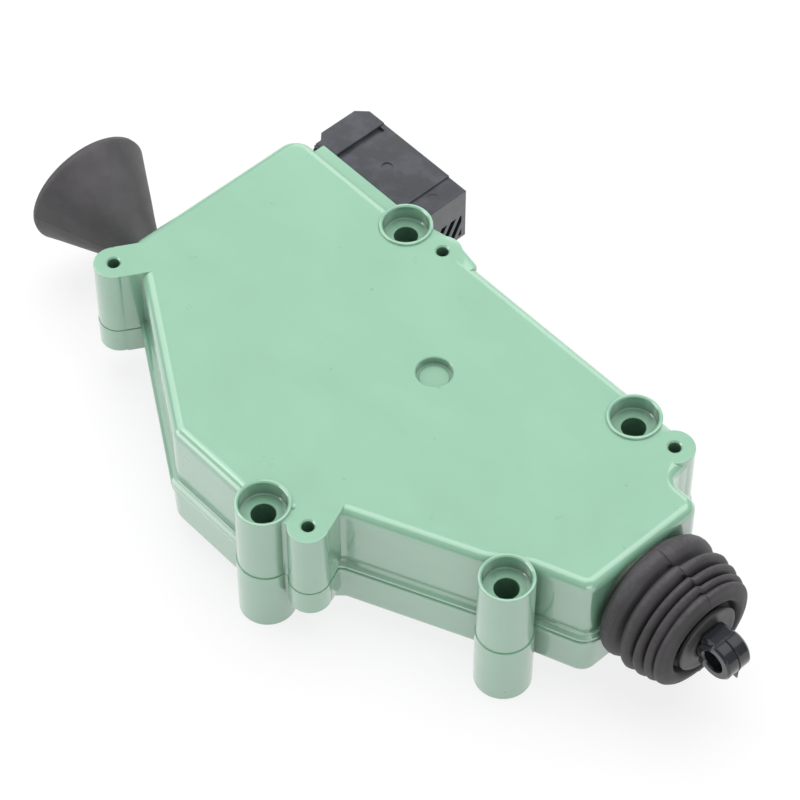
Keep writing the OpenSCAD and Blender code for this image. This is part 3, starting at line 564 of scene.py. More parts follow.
def column(name, at, radius, z0, z1, top=0.0, bottom=0.0, steps=None):
    """An upright round column, with its rims bevelled."""
    profile = [(z0, 0)]
    profile += [(z0, radius - bottom), (z0 + bottom, radius)] if bottom else [(z0, radius)]
    if top:
        profile += [(z1 - top, radius), (z1 - top * 0.3, radius - top * 0.3), (z1, radius - top)]
    else:
        profile += [(z1, radius)]
    return upright(name, profile + [(z1, 0)], at, steps)


def carve(target, tool, operation="DIFFERENCE"):
    """Joins a tool to the target, or cuts it out of the target."""
    only(target)
    faces_before = len(target.data.polygons)
    bpy.ops.object.modifier_add(type="BOOLEAN")
    modifier = target.modifiers[-1]
    modifier.operation = operation
    modifier.object = tool
    modifier.solver = "EXACT"
    bpy.ops.object.modifier_apply(modifier=modifier.name)
    bpy.data.objects.remove(tool)
    if len(target.data.polygons) < faces_before * 0.5:
        raise RuntimeError(f"a Boolean lost most of {target.name}")


def join(target, tool):
    carve(target, tool, "UNION")


def smooth(obj, angle=32):
    """Smooth shading up to an angle, with normals that follow the large faces."""
    only(obj)
    bpy.ops.object.shade_smooth_by_angle(angle=math.radians(angle))
    bpy.ops.object.modifier_add(type="WEIGHTED_NORMAL")
    modifier = obj.modifiers[-1]
    modifier.keep_sharp = True
    bpy.ops.object.modifier_apply(modifier=modifier.name)


def hand_over(obj, finish, body, *stands_for):
    """Gives a finished piece its finish, its body and the solids that it stands for."""
    obj.data.materials.clear()
    obj.data.materials.append(finish_named(finish))
    if body:
        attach(obj, body)
    if stands_for:
        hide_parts(*stands_for)


# The outline of the housing

# Corner points of the upper wall, counterclockwise: x, y and corner radius
CORNERS = [
    (-89.4, 90.1, 6), (-89.4, 31.5, 4), (-77.8, 25.5, 4), (-32.8, -1.7, 5), (1.7, -1.7, 4),
    (15.7, 13.3, 4), (49.2, 28.7, 4), (58.7, 36, 4), (73.7, 42, 4), (73.7, 81, 4),
    (62.4, 81, 4), (62.4, 92.9, 7.4), (-42, 92.9, 4), (-46, 90.1, 4)]
BOSSES = [(-44, 88.8), (0, 0), (57.5, 29.1), (43.2, 87.6)]
LOBES = [(-86.7, 23), (-30.9, 89.9), (12.55, 3.85), (56.65, 88.5)]
ROD_Y, ROD_Z = 60.9, 26.9
ROD, EYE = (0, ROD_Y, ROD_Z), (102, ROD_Y, ROD_Z)
ROOF, CEILING, FLOOR, UNDERSIDE = 42.4, 40.2, 7.6, 5.6
HOLE, MOUTH = 3.2, 12.1  # radii of the mounting holes and of the rod's opening
OUTPUT_AXIS, MIDDLE_AXIS, MOTOR_AXIS = (-2.2, 60.3), (-17.687, 38.183), (-37.346, 24.417)
FUNNEL_SEAT = Vector((-88.1, 39.8, 24.2))
FUNNEL_TURN, FUNNEL_RISE = math.radians(-3.7), math.radians(7)
FUNNEL_WAY = (Matrix.Rotation(FUNNEL_TURN, 3, "Z")
              @ Matrix.Rotation(FUNNEL_RISE - math.pi / 2, 3, "Y") @ Vector(UP))
FUNNEL_ACROSS = FUNNEL_WAY.cross(-Vector(UP)).normalized()
FUNNEL_LOW = FUNNEL_ACROSS.cross(FUNNEL_WAY).normalized()
# Angles of the mould seams: about the funnel from its low side, about the rod from +y
FUNNEL_SEAM, BELLOWS_SEAM = math.radians(95), math.radians(90)


def parting_plane(seam, axis, through):
    """The plane through an axis and a seam beside it, as its normal and its distance."""
    across = axis.cross(seam).normalized()
    return across, across.dot(Vector(through))


FUNNEL_SIDE = FUNNEL_LOW * math.cos(FUNNEL_SEAM) + FUNNEL_ACROSS * math.sin(FUNNEL_SEAM)
FUNNEL_PARTING = parting_plane(FUNNEL_SIDE, FUNNEL_WAY, FUNNEL_SEAT)
BELLOWS_TOP = Vector((0, math.cos(BELLOWS_SEAM), math.sin(BELLOWS_SEAM)))
BELLOWS_PARTING = parting_plane(BELLOWS_TOP, Vector(ALONG_ROD), ROD)


def outline(grow, z):
    """The outline at a height, grown outwards by a distance, as points with rounded corners."""
    steps = bpy.context.scene.actuator_housing.corner_steps
    points = []
    count = len(CORNERS)
    for i, (_, _, radius) in enumerate(CORNERS):
        before, here, after = (Vector(CORNERS[k % count][:2]) for k in (i - 1, i, i + 1))
        u, v = (here - before).normalized(), (after - here).normalized()
        turn = math.atan2(u.x * v.y - u.y * v.x, u.dot(v))
        side = 1 if turn > 0 else -1
        rounding = radius + side * grow
        first, second = Vector((u.y, -u.x)), Vector((v.y, -v.x))
        mitre = (first + second) / (1 + first.dot(second))
        centre = here + grow * mitre - side * rounding * mitre
        start = math.atan2(first.y, first.x)
        for k in range(steps + 1):
            angle = start + turn * k / steps
            reach = side * rounding
            points.append((centre.x + reach * math.cos(angle), centre.y + reach * math.sin(angle), z))
    return points


def quarter(steps):
    """Pairs of 1 - cos and sin from just past 0 to 90 degrees."""
    for k in range(1, steps + 1):
        angle = math.pi / 2 * k / steps
        yield 1 - math.cos(angle), math.sin(angle)


def turned_block(name, at, angle, x0, x1, y0, y1, z0, z1):
    """A box turned about an upright axis through a point."""
    made = block(name, x0, x1, y0, y1, z0, z1)
    place = Matrix.Translation((at[0] * MM, at[1] * MM, 0))
    made.data.transform(place @ Matrix.Rotation(math.radians(angle), 4, "Z"))
    return made


def rear_blend(z0, z1, grow):
    """The low swelling that runs the rear lobe into the wall."""
    x, y = LOBES[1][0], 92.9
    plan = [(-10, -3), (10, -3), (10, 0), (2.4, 1.45 + grow), (-2.4, 1.45 + grow), (-10, 0)]
    return ring_stack("rear_blend", [[(x + a, y + b, z) for a, b in plan] for z in (z0, z1)])


def add_columns(shell, lobe_radius, lobe_bottom, lobe_top, boss_radius, boss_bottom, boss_top, top, bottom):
    """Joins the mounting bosses and screw lobes to a shell."""
    for at in BOSSES:
        join(shell, column("boss", at, boss_radius, boss_bottom, boss_top, top, bottom))
    for at, low in zip(LOBES, lobe_bottom):
        join(shell, column("lobe", at, lobe_radius, low, lobe_top, top * 0.7, bottom))
    for boss, lobe, angle, length in ((0, 1, 4.8, 13), (1, 2, 17, 13), (3, 3, 3.8, 13.4)):
        low, high = lobe_bottom[lobe] + 0.08, lobe_top - 0.1
        web = turned_block("web", BOSSES[boss], angle, 1.5, length - 1.5, -2.4, 2.4, low, high)
        join(shell, web)
    for lobe, angle, length in ((0, 60, 14), (2, 111.8, 16)):
        r = lobe_radius - 0.03
        low, high = lobe_bottom[lobe] + 0.05, lobe_top - 0.05
        join(shell, turned_block("arm", LOBES[lobe], angle, 1, length, -r, r, low, high))
    join(shell, rear_blend(lobe_bottom[1] + 0.05, lobe_top - 0.05, lobe_radius - 5.4))


class ACTUATOR_OT_upper_shell(bpy.types.Operator):
    """Builds the upper half of the housing, with its bosses, lobes, ledge and dimple"""

    bl_idname = "actuator.upper_shell"
    bl_label = "Upper shell"

    def execute(self, context):
        sizes = context.scene.actuator_housing
        r = sizes.top_round / MM
        bevel = sizes.rim_bevel / MM
        side = [(1.3, 20.62), (1.6, 20.92), (1.6, 21.7), (0.85, 22.45), (0.3, 22.55), (-0.15, 22.8),
                (-0.28, 23.05), (-0.12, 23.35), (0, 23.6), (0, ROOF - r)]
        side += [(-r * a, ROOF - r + r * b) for a, b in quarter(7)]
        inner = [(-2, CEILING), (-2, 20.62)]
        shell = ring_stack("shell_top", [outline(grow, z) for grow, z in inner + side])
        carve(shell, block("cut", -84, -54, 80.9, 96, 19.7, 34.4))
        step = [(88.8, 41.2), (88.8, 41.75), (88.68, 42.1), (88.4, 42.32), (88.1, 42.41), (88.1, 46),
                (96, 46), (96, 41.2)]
        carve(shell, ring_stack("cut", [[(x, y, z) for y, z in step] for x in (-81.5, -44)]))
        join(shell, block("ledge", -81.5, -44, 88, 92.7, 21.2, 41.2))
        carve(shell, block("cut", -83.99, -54.01, 80.9, 96, 19.7, 34.39))
        self.add_inside(shell)
        add_columns(shell, 5.4, [20.47, 20.48, 20.47, 20.48], 42.43, 7.3, 20.45, 43.2, bevel, 0.02)
        for at in BOSSES:
            hole = [(19, 0), (19, HOLE), (38.2, HOLE), (38.4, 3.4), (38.4, 5.95), (38.7, 6.25),
                    (42.85, 6.25), (43.6, 7.0), (43.6, 0)]
            carve(shell, upright("hole", hole, at))
        for at in LOBES:
            hole = [(19, 0), (19, 1.65), (42.0, 1.65), (42.8, 2.45), (42.8, 0)]
            carve(shell, upright("hole", hole, at, 48))
        dimple = [(43, 5.45), (42.4, 5.15), (42.15, 4.85), (40.05, 4.85), (40.05, 4.2), (39.9, 4.15),
                  (39.9, 3.95), (40.05, 3.9), (40.05, 0), (43, 0)]
        carve(shell, upright("dimple", dimple, OUTPUT_AXIS))
        carve(shell, turned("opening", [(68.7, 0), (68.7, MOUTH), (77, MOUTH), (77, 0)], ROD, ALONG_ROD))
        smooth(shell)
        hand_over(shell, "green_plastic", "housing", "upper_shell")
        return {"FINISHED"}

    def add_inside(self, shell):
        """The axle sockets, the board's posts, the rib over the motor and the funnel's nipple."""
        for at, radius, low in ((OUTPUT_AXIS, 6.5, 32.8), (MIDDLE_AXIS, 3.8, 22.9)):
            join(shell, column("socket", at, radius, low, 40.6, 0, 0.4))
        for at in ((-82, 58), (-82.9, 76), (-14, 57.5), (-14, 77)):
            post = [(33.4, 0), (33.4, 0.9), (33.7, 1.2), (36, 1.2), (36, 2.4), (36.2, 2.6), (40.6, 2.6), (40.6, 0)]
            join(shell, upright("post", post, at, 40))
        rib = [(39.4, 11.4), (39.4, 13), (40.6, 13), (40.6, 11.4)]
        join(shell, upright("rib", rib, MOTOR_AXIS, closed=True))
        nipple = [(-2, 0), (-2, 2.4), (6.2, 2.4), (6.5, 2.1), (6.5, 0)]
        join(shell, turned("nipple", nipple, FUNNEL_SEAT, FUNNEL_WAY, 40))
        carve(shell, turned("air", [(-7, 0), (-7, 1.2), (8, 1.2), (8, 0)], FUNNEL_SEAT, FUNNEL_WAY, 32))
        carve(shell, column("axle", OUTPUT_AXIS, 2.03, 30, 38.6, steps=40))
        carve(shell, column("axle", MIDDLE_AXIS, 1.53, 20, 40.1, steps=40))


class ACTUATOR_OT_lower_shell(bpy.types.Operator):
    """Builds the lower half of the housing, with its feet and screw pockets"""

    bl_idname = "actuator.lower_shell"
    bl_label = "Lower shell"

    def execute(self, context):
        sizes = context.scene.actuator_housing
        r = sizes.bottom_round / MM
        bevel = sizes.rim_bevel / MM
        side = [(-1, 20.18), (1.25, 20.18), (1.6, 19.83), (1.6, 18.75), (1.3, 18.4), (1.0, 18.3),
                (0.7, UNDERSIDE + r)]
        side += [(0.7 - r * a, UNDERSIDE + r - r * b) for a, b in quarter(6)]
        shell = ring_stack("shell_bottom", [outline(grow, z) for grow, z in [(-1, FLOOR)] + side])
        self.add_inside(shell)
        add_columns(shell, 5.6, [12, 5.61, 12, 5.61], 20.41, 7.6, 0, 20.42, 0.02, bevel)
        for at in BOSSES:
            hole = [(-1, 4.2), (0, 3.5), (0.3, HOLE), (21, HOLE), (21, 0), (-1, 0)]
            carve(shell, upright("hole", hole, at))
        for at in LOBES:
            hole = [(4, 0), (4, 4.0), (12, 4.0), (12, 2.15), (21, 2.15), (21, 0)]
            carve(shell, upright("hole", hole, at, 48))
        carve(shell, turned("opening", [(68.7, 0), (68.7, MOUTH), (78, MOUTH), (78, 0)], ROD, ALONG_ROD))
        smooth(shell)
        hand_over(shell, "green_plastic", "housing", "lower_shell")
        return {"FINISHED"}

    def add_inside(self, shell):
        """The motor's cradle, the sliders' guide, the front stop and the axle sockets."""
        cradle = [(7, 17), (7, 18.6), (19.5, 18.6), (19.8, 18.3), (19.8, 17)]
        cradle = upright("cradle", cradle, MOTOR_AXIS, closed=True)
        shelf = [(13.8, 11), (13.8, 17.5), (15, 17.5), (15, 11)]
        join(cradle, upright("shelf", shelf, MOTOR_AXIS, closed=True))
        carve(cradle, column("gear_room", MIDDLE_AXIS, 21.6, 5, 13.8))
        carve(cradle, column("pinion_room", MIDDLE_AXIS, 8.4, 5, 21))
        join(shell, cradle)
        guide = block("guide", -52, -42, 52.9, 68.9, 7, 31.9, 0.4)
        carve(guide, block("slot", -54, -40, 56.75, 65.05, 23.25, 34))
        join(shell, guide)
        join(shell, block("stop", 36, 39, 68.5, 77.9, 7, 30.9, 0.4))
        join(shell, column("socket", OUTPUT_AXIS, 4.2, 7, 10.4, 0.3))
        carve(shell, column("axle", OUTPUT_AXIS, 2.03, 6.4, 12, steps=40))
        carve(shell, column("axle", MIDDLE_AXIS, 1.53, 6.4, 12, steps=40))


class ACTUATOR_OT_connector(bpy.types.Operator):
    """Builds the connector's black housing with its socket, groove, pocket and marks"""

    bl_idname = "actuator.connector"
    bl_label = "Connector housing"

    def execute(self, context):
        x0, x1, y0, y1, z0, z1 = -88.2, -46.1, 93.2, 113.0, 18.5, 37.4
        body_plan = [(x0 + 2, y0), (x1, y0), (x1, y1), (x0 + 3, y1), (x0, y1 - 3), (x0, y0 + 4.5),
                     (x0 + 2, y0 + 2.5)]
        body = ring_stack("connector", [[(x, y, z) for x, y in body_plan] for z in (z0, z1 - 0.4)])
        band_plan = [(x0 + 9, y0 + 0.6), (x0 + 9, y1), (x0 + 3, y1), (x0, y1 - 3), (x0, y0 + 4.5),
                     (x0 + 2, y0 + 2.5), (x0 + 2, y0 + 0.6)]
        join(body, ring_stack("band", [[(x, y, z) for x, y in band_plan] for z in (z0 + 1, z1)]))
        carve(body, block("step", x1 - 6.8, x1 + 2, y0 - 2, y1 + 2, z1 - 1.0, z1 + 2))
        only(body)
        bpy.ops.object.modifier_add(type="BEVEL")
        bevel = body.modifiers[-1]
        bevel.width, bevel.segments = 0.35 * MM, 2
        bevel.limit_method, bevel.angle_limit = "ANGLE", math.radians(40)
        bpy.ops.object.modifier_apply(modifier=bevel.name)
        carve(body, column("round", BOSSES[0], 8.0, z0 - 1, z1 + 2))
        carve(body, block("groove", x0 + 9, x0 + 11, y0 + 1.6, y1 - 1.6, z1 - 1.3, z1 + 1))
        carve(body, block("socket", -84.6, -54.5, y1 - 14, y1 + 2, 21, 35, 0.6))
        pocket = block("pocket", x1 - 2, x1 + 2, y0 + 6, y1 - 1.6, z0 + 1.2, z0 + 9.2, 0.3)
        for k in range(4):
            rib = block("rib", x1 - 5, x1 + 3, 0, 1.3, -4, 30)
            place = Matrix.Translation((0, (y0 + 4.5 + 3.4 * k) * MM, z0 * MM))
            rib.data.transform(place @ Matrix.Rotation(math.radians(-28), 4, "X"))
            carve(pocket, rib)
        carve(body, pocket)
        for at, radius, depth in (((-66.8, 102.8), 1.65, 0.35), ((-50.2, 104.4), 1.7, 0.15)):
            top = z1 - 0.4 if at[0] < -53 else z1 - 1.0
            mark = [(top - depth, 0), (top - depth, radius - 0.1), (top + 1, radius), (top + 1, 0)]
            carve(body, upright("mark", mark, at, 40))
        join(body, block("neck", -83.9, -54.1, 86.1, y0 + 1, 20.75, 34.3))
        join(body, block("flange", -85.5, -52.5, 86.1, 88.1, 20.8, 36.0))
        for x in (-79, -73, -67, -61):
            for z in (31, 24.5):
                carve(body, block("slot", x - 1.43, x + 1.43, 80.9, y1 - 13, z - 0.43, z + 0.43))
        smooth(body)
        hand_over(body, "black_plastic", "housing", "connector_housing")
        return {"FINISHED"}


# The rod's end

# The folds of the bellows: centre, width and largest radius
FOLDS = [(79.0, 7.2, 18.6), (85.2, 4.5, 18.4), (88.9, 3.2, 17.8), (91.7, 3.0, 17.0), (94.2, 3.4, 16.2)]
FOLD_DEPTH = 3.8
# The rubber within this radius, or left of this place, is held and keeps its shape
HELD_RADIUS, LIP_END = 12.5, 76.2


def fold(centre, width, radius, inset, steps=10, skip=1):
    """A half-round fold as profile points, moved inwards by an inset."""
    points = []
    for k in range(skip, steps + 1 - skip):
        angle = math.pi * k / steps - math.pi / 2
        along = centre + (width / 2 - inset / 3) * math.sin(angle)
        points.append((along, radius - FOLD_DEPTH + FOLD_DEPTH * math.cos(angle) - inset))
    return points


def seam_weight(angle, at):
    """1 on the two mould seams, at an angle about the axis and opposite it, and 0 beside them."""
    away = abs((angle - at + math.pi / 2) % math.pi - math.pi / 2)
    return max(0.0, 1 - away / 0.05)


class ACTUATOR_OT_bellows(bpy.types.Operator):
    """Builds the rubber bellows that stretch between the housing and the rod"""

    bl_idname = "actuator.bellows"
    bl_label = "Bellows"

    def execute(self, context):
        sizes = context.scene.actuator_rubber
        wall = sizes.wall / MM
        outer = [p for f in FOLDS for p in fold(*f, 0)]
        inner = [p for f in reversed(FOLDS[1:]) for p in reversed(fold(*f, wall, 10, 3))]
        profile = [(74.85, 12.1), (74.8, 15.6), (75.0, 15.9), (75.3, 15.9)] + outer
        profile += [(96.25, 12.4), (96.0, 11.7), (95.2, 11.1), (94.0, 10.7), (93.2, 10.2), (93.2, 6.62),
                    (91.2, 6.62), (91.2, 10.0)] + inner
        profile += [(80.1, 13.4), (79.9, 12.1)]
        piece = turned("bellows_rubber", profile, ROD, ALONG_ROD, sizes.turn_steps, closed=True)
        height = sizes.seam / MM
        # how near each point is to a fold's crest; the finish paints shade in the valleys and a part painted sheen
        # on the crests from it
        crests = piece.data.attributes.new("crest", "FLOAT", "POINT")
        for v in piece.data.vertices:
            x, y, z = v.co / MM
            dy, dz = y - ROD_Y, z - ROD_Z
            radius = math.hypot(dy, dz)
            for centre, width, largest in FOLDS:
                if abs(x - centre) <= width / 2:
                    crests.data[v.index].value = max(0.0, (radius - largest) / FOLD_DEPTH + 1)
            if radius < HELD_RADIUS or x < LIP_END:
                continue
            angle = math.atan2(dz, dy)
            # the two mould halves don't quite meet: their folds shift and a seam stands proud
            half = 1 if math.sin(BELLOWS_SEAM - angle) > 0 else -1
            free = min(1.0, (radius - HELD_RADIUS) / 4) * min(1.0, (x - LIP_END) / 3)
            weight = seam_weight(angle, BELLOWS_SEAM)
            waviness = noise.noise(Vector((x * 0.35, angle * 1.3, 4.0)))
            drift = 0.12 * math.sin(angle * 2 + x * 0.9) + 0.1 * waviness
            proud = weight * height + 0.1 * noise.noise(Vector((x * 0.2, angle * 2.1, 9.0)))
            v.co.x = (x + free * (drift + 0.4 * half * min(1.0, (96.3 - x) / 3))) * MM
            v.co.y = (ROD_Y + dy * (radius + free * (proud - 0.12)) / radius) * MM
            v.co.z = (ROD_Z + dz * (radius + free * (proud - 0.12)) / radius) * MM
        smooth(piece, 60)
        hand_over(piece, "black_rubber", None, "bellows")
        piece.data.materials[0] = finish_named("folded_rubber")
        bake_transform(piece)
        return {"FINISHED"}


class ACTUATOR_OT_rod_end(bpy.types.Operator):
    """Builds the collar and the eye at the rod's end"""

    bl_idname = "actuator.rod_end"
    bl_label = "Collar and eye"

    def execute(self, context):
        profile = [(89.8, 4.3), (89.8, 6.3), (90, 6.5), (95.3, 6.5), (95.3, 9.3), (95.6, 9.7), (96.45, 9.7),
                   (96.75, 9.4), (96.8, 8.2), (96.65, 7.9), (96.65, 6), (96.8, 5.7), (96.8, 4.6), (96.6, 4.3)]
        collar = turned("collar", profile, ROD, ALONG_ROD, 96, closed=True)
        smooth(collar)
        hand_over(collar, "grey_plastic", "rod", "rod_collar")

        ring = [(-4, 0), (-4, 5.1), (-3.4, 5.65), (-0.4, 5.65), (-0.3, 5.45), (-0.12, 5.45), (-0.06, 5.8),
                (0.12, 5.8), (0.2, 5.65), (3.4, 5.65), (4, 5.1), (4, 0)]
        eye = turned("eye", ring, EYE, ACROSS_ROD, 80)
        shank = [(90, 0), (90, 4.25), (98.5, 4.25), (101, 4.0), (101, 0)]
        join(eye, turned("shank", shank, ROD, ALONG_ROD, 64))
        join(eye, block("cheeks", 96.9, 102.5, ROD_Y - 3.8, ROD_Y + 3.8, ROD_Z - 5.7, ROD_Z + 5.7, 1.0, 3))
        bore = [(-5, 4.1), (-3.6, 3.1), (3.6, 3.1), (5, 4.1), (5, 0), (-5, 0)]
        carve(eye, turned("bore", bore, EYE, ACROSS_ROD, 64))
        carve(eye, turned("socket", [(89, 0), (89, 2.53), (96.2, 2.53), (96.2, 0)], ROD, ALONG_ROD, 48))
        # what the mould's gate left: a tag below the eye
        join(eye, block("tag", 105.9, 107.2, ROD_Y - 0.2, ROD_Y + 0.3, ROD_Z - 5.3, ROD_Z - 2.6, 0.12))
        smooth(eye)
        hand_over(eye, "gloss_black", "rod", "rod_eye")
        return {"FINISHED"}


class ACTUATOR_OT_funnel(bpy.types.Operator):
    """Builds the rubber vent funnel on the left wall"""

    bl_idname = "actuator.funnel"
    bl_label = "Vent funnel"

    def execute(self, context):
        sizes = context.scene.actuator_rubber
        way, seat = FUNNEL_WAY, FUNNEL_SEAT
        tip, rim, length, lip, wall = 0.9, 18.2, 36.5, 2.4, 2.2
        slope = (rim - tip) / (length - lip)
        neck = 4.0
        profile = [(2.0, 2.5), (2.0, neck), ((neck - tip) / slope, neck)]
        profile += [((r - tip) / slope, r) for r in (5, 8, 11, 14, 16.5, 17.7)]
        profile += [(length - lip + lip * b, rim - lip * a) for a, b in [(0, 0)] + list(quarter(8))]
        profile += [(length - 0.15, rim - lip - 0.25), (length - 0.5, rim - lip - 0.5)]
        profile += [(((r - tip) / slope) + wall, r) for r in (14.8, 12, 9, 6, 4)]
        profile += [((neck - tip) / slope + wall, 2.5)]
        piece = turned("funnel", profile, seat, way, sizes.turn_steps, closed=True)
        for v in piece.data.vertices:
            offset = v.co / MM - seat
            along = offset.dot(way)
            out = offset - way * along
            angle = math.atan2(out.dot(FUNNEL_ACROSS), out.dot(FUNNEL_LOW))
            outside = out.length > max(neck - 0.2, (along * slope + tip) - 1.0)
            if outside and along > 7:
                weight = seam_weight(angle, FUNNEL_SEAM)
                wave = 0.15 * noise.noise(Vector((along * 0.12, angle * 1.5, 2.0)))
                share = min(1.0, (along - 7) / 8)
                proud = weight * sizes.seam / MM * 0.6 + wave - 0.15
                v.co = (seat + way * along + out * (1 + share * proud / out.length)) * MM
        end = length - 0.6
        nub = [(end - 1.8, 0), (end - 1.8, 0.9), (end - 0.6, 1.1), (end, 0.8), (end, 0)]
        nub = turned("nub", nub, seat + FUNNEL_SIDE * (rim - 1.5), way, 24)
        join(piece, nub)
        smooth(piece, 50)
        hand_over(piece, "black_rubber", "housing", "vent_funnel")
        piece.data.materials[0] = finish_named("bloomed_rubber")
        return {"FINISHED"}


class ACTUATOR_OT_screws(bpy.types.Operator):
    """Builds the case screws: one is modelled and the others are copies"""

    bl_idname = "actuator.screws"
    bl_label = "Case screws"

    def execute(self, context):
        at = LOBES[0]
        profile = [(9.6, 0), (9.6, 2.9), (9.9, 3.45), (10.5, 3.7), (11.8, 3.7), (12.0, 3.5), (12.0, 1.95),
                   (20.1, 1.95), (20.6, 1.6)]
        z = 20.6
        while z < 31:
            profile += [(z + 0.35, 1.62), (z + 0.65, 1.3), (z + 0.95, 1.3), (z + 1.3, 1.62)]
            z += 1.3
        profile += [(32.2, 1.2), (32.5, 0.9), (32.5, 0)]
        first = upright("case_screw", profile, at, 48)
        nothing()
        low = (at[0] * MM, at[1] * MM, 9.6 * MM)
        bpy.ops.mesh.primitive_cylinder_add(vertices=6, radius=1.7 * MM, depth=2.8 * MM, location=low)
        recess = bpy.context.object
        bpy.ops.object.transform_apply()
        carve(first, recess)
        smooth(first)
        screws = [first]
        for other in LOBES[1:]:
            only(first)
            bpy.ops.object.duplicate(linked=False)
            copy = bpy.context.object
            copy.data.transform(Matrix.Translation(((other[0] - at[0]) * MM, (other[1] - at[1]) * MM, 0)))
            screws.append(copy)
        for i, screw in enumerate(screws):
            screw.name = f"case_screw_{i + 1}"
            hand_over(screw, "zinc_steel", "housing")
        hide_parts("case_screws")
        return {"FINISHED"}


class ACTUATOR_OT_insides(bpy.types.Operator):
    """Gives the solids that stay as they are their finishes"""

    bl_idname = "actuator.insides"
    bl_label = "Finishes of the solids"

    def execute(self, context):
        slots = {part["node"]: part["material_slot"] for part in frame["record"]["subparts"]}
        for name, node in frame["nodes"].items():
            if node.hide_render:
                continue
            if name not in slots:
                raise RuntimeError(f"{name} has no material slot")
            finish = finish_named(slots[name])
            if not node.material_slots:
                node.data.materials.append(finish)
            for material_slot in node.material_slots:
                material_slot.material = finish
        return {"FINISHED"}


# The studio

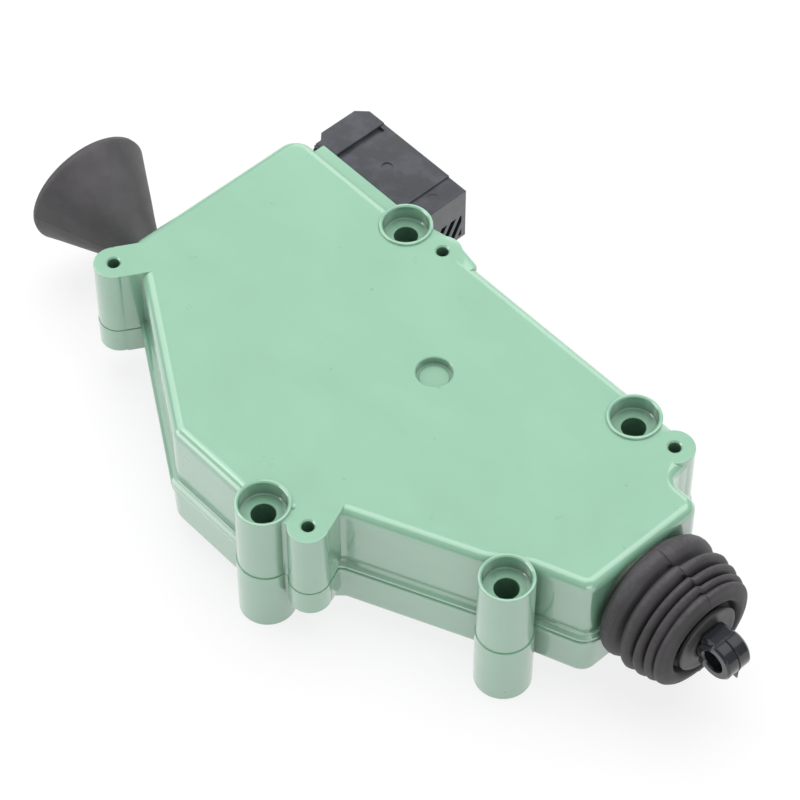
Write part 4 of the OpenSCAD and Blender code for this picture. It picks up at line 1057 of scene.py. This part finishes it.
class ACTUATOR_OT_stage(bpy.types.Operator):
    """Sets up the pale floor, the lamps, the world and the camera"""

    bl_idname = "actuator.stage"
    bl_label = "Stage, lamps and camera"

    def execute(self, context):
        studio = context.scene.actuator_studio
        nothing()
        bpy.ops.mesh.primitive_plane_add(size=studio.floor_size)
        floor = context.object
        floor.name = "floor"
        begin(floor, "floor")
        select_everything()
        bpy.ops.mesh.subdivide(number_cuts=3)
        bpy.ops.object.mode_set(mode="OBJECT")
        floor.data.materials.append(self.pale_floor())
        self.lamp("overhead", (-0.15, 0.35, 1.1), (0, 0.05, 0), (1.4, 1.1), studio.key)
        context.object.visible_glossy = False
        self.lamp("left", (-0.8, -0.95, 0.4), (0, 0.05, 0.02), (0.9, 0.7), studio.left)
        self.lamp("right", (1.1, -0.5, 0.42), (0, 0.05, 0.02), (0.8, 0.6), studio.right)
        places = [(-0.92, -0.04, 0.86), (-0.2, -0.17, 1.2), (0.25, 0.56, 1.11), (-0.65, 1.05, 0.65)]
        for i, position in enumerate(places):
            self.lamp(f"glint_{i + 1}", position, (0, 0.05, 0.03), (0.9, 0.9), studio.glint)
            context.object.visible_diffuse = False
        self.world(studio.daylight)
        self.camera()
        scene = context.scene
        scene.view_settings.view_transform = "Standard"
        return {"FINISHED"}

    def lamp(self, name, position, target, size, power):
        nothing()
        bpy.ops.object.light_add(type="AREA", location=position)
        lamp = bpy.context.object
        lamp.name = name
        lamp.rotation_euler = (Vector(target) - Vector(position)).to_track_quat("-Z", "Y").to_euler()
        lamp.data.shape = "RECTANGLE"
        lamp.data.size, lamp.data.size_y = size
        lamp.data.energy = power

    def shader(self, tree, kind, name, value):
        """A shader node's output, with one of its inputs set."""
        made = tree.nodes.new(kind)
        made.inputs[name].default_value = value
        return made.outputs[0]

    def split_by_ray(self, tree, rays, lighting, shown, output_kind):
        """Closes a tree: the named rays see one shader, and the light on the object comes from the other."""
        path = tree.nodes.new("ShaderNodeLightPath")
        most = path.outputs[rays[0]]
        for name in rays[1:]:
            either = tree.nodes.new("ShaderNodeMath")
            either.operation = "MAXIMUM"
            tree.links.new(most, either.inputs[0])
            tree.links.new(path.outputs[name], either.inputs[1])
            most = either.outputs[0]
        mix = tree.nodes.new("ShaderNodeMixShader")
        for i, source in enumerate((most, lighting, shown)):
            tree.links.new(source, mix.inputs[i])
        tree.links.new(mix.outputs[0], tree.nodes.new(output_kind).inputs[0])

    def pale_floor(self):
        """A matt floor that the camera sees as white, with the object's shadow on it."""
        material = bpy.data.materials.new("pale_floor")
        material.use_nodes = True
        tree = material.node_tree
        tree.nodes.clear()
        greys = [(grey, grey, grey, 1) for grey in (0.5, 0.22)]
        matt, faint = (self.shader(tree, "ShaderNodeBsdfDiffuse", "Color", grey) for grey in greys)
        shown = tree.nodes.new("ShaderNodeAddShader")
        tree.links.new(faint, shown.inputs[0])
        tree.links.new(self.shader(tree, "ShaderNodeEmission", "Strength", 0.8), shown.inputs[1])
        rays = ("Is Camera Ray", "Is Glossy Ray", "Is Transmission Ray")
        self.split_by_ray(tree, rays, matt, shown.outputs[0], "ShaderNodeOutputMaterial")
        return material

    def world(self, daylight):
        """Even light from all round, that the camera sees as white."""
        world = bpy.data.worlds.new("studio")
        bpy.context.scene.world = world
        world.use_nodes = True
        tree = world.node_tree
        tree.nodes.clear()
        light = self.shader(tree, "ShaderNodeBackground", "Strength", daylight)
        shown = self.shader(tree, "ShaderNodeBackground", "Strength", 1.0)
        for socket in (light, shown):
            socket.node.inputs["Color"].default_value = (1, 1, 1, 1)
        rays = ("Is Camera Ray", "Is Transmission Ray")
        self.split_by_ray(tree, rays, light, shown, "ShaderNodeOutputWorld")

    def camera(self):
        nothing()
        position, target = Vector((371.7, -294.3, 681.6)) * MM, Vector((-1.3, 47.5, 42.4)) * MM
        bpy.ops.object.camera_add(location=position)
        camera = bpy.context.object
        camera.name = "camera"
        camera.rotation_euler = (target - position).to_track_quat("-Z", "Y").to_euler()
        camera.data.sensor_width = 36
        camera.data.lens = 143.65
        camera.data.clip_start, camera.data.clip_end = 0.01, 20
        bpy.context.scene.camera = camera


OPERATORS = [ACTUATOR_OT_stage, ACTUATOR_OT_upper_shell, ACTUATOR_OT_lower_shell, ACTUATOR_OT_connector,
             ACTUATOR_OT_bellows, ACTUATOR_OT_rod_end, ACTUATOR_OT_funnel, ACTUATOR_OT_screws,
             ACTUATOR_OT_insides]
GROUPS = {"actuator_housing": HousingSizes, "actuator_rubber": RubberSizes,
          "actuator_colours": FinishColours, "actuator_studio": StudioSettings}


class ACTUATOR_PT_sidebar(bpy.types.Panel):
    """The actuator's pieces and settings"""

    bl_idname = "ACTUATOR_PT_sidebar"
    bl_label = "Door latch actuator"
    bl_space_type = "VIEW_3D"
    bl_region_type = "UI"
    bl_category = "Actuator"

    def draw(self, context):
        for name, group in GROUPS.items():
            settings = getattr(context.scene, name)
            part = self.layout.box()
            for key in group.__annotations__:
                part.prop(settings, key)
        for operator in OPERATORS:
            self.layout.operator(operator.bl_idname)


def register():
    for group in GROUPS.values():
        bpy.utils.register_class(group)
    for name, group in GROUPS.items():
        setattr(bpy.types.Scene, name, PointerProperty(type=group))
    for each in OPERATORS + [ACTUATOR_PT_sidebar]:
        bpy.utils.register_class(each)


def unregister():
    for each in reversed(OPERATORS + [ACTUATOR_PT_sidebar]):
        bpy.utils.unregister_class(each)
    for name in GROUPS:
        delattr(bpy.types.Scene, name)
    for group in GROUPS.values():
        bpy.utils.unregister_class(group)


def main():
    register()
    bpy.ops.actuator.stage()
    bpy.ops.actuator.upper_shell()
    bpy.ops.actuator.lower_shell()
    bpy.ops.actuator.connector()
    bpy.ops.actuator.bellows()
    bpy.ops.actuator.rod_end()
    bpy.ops.actuator.funnel()
    bpy.ops.actuator.screws()
    bpy.ops.actuator.insides()
    nothing()


if __name__ == "__main__":
    main()
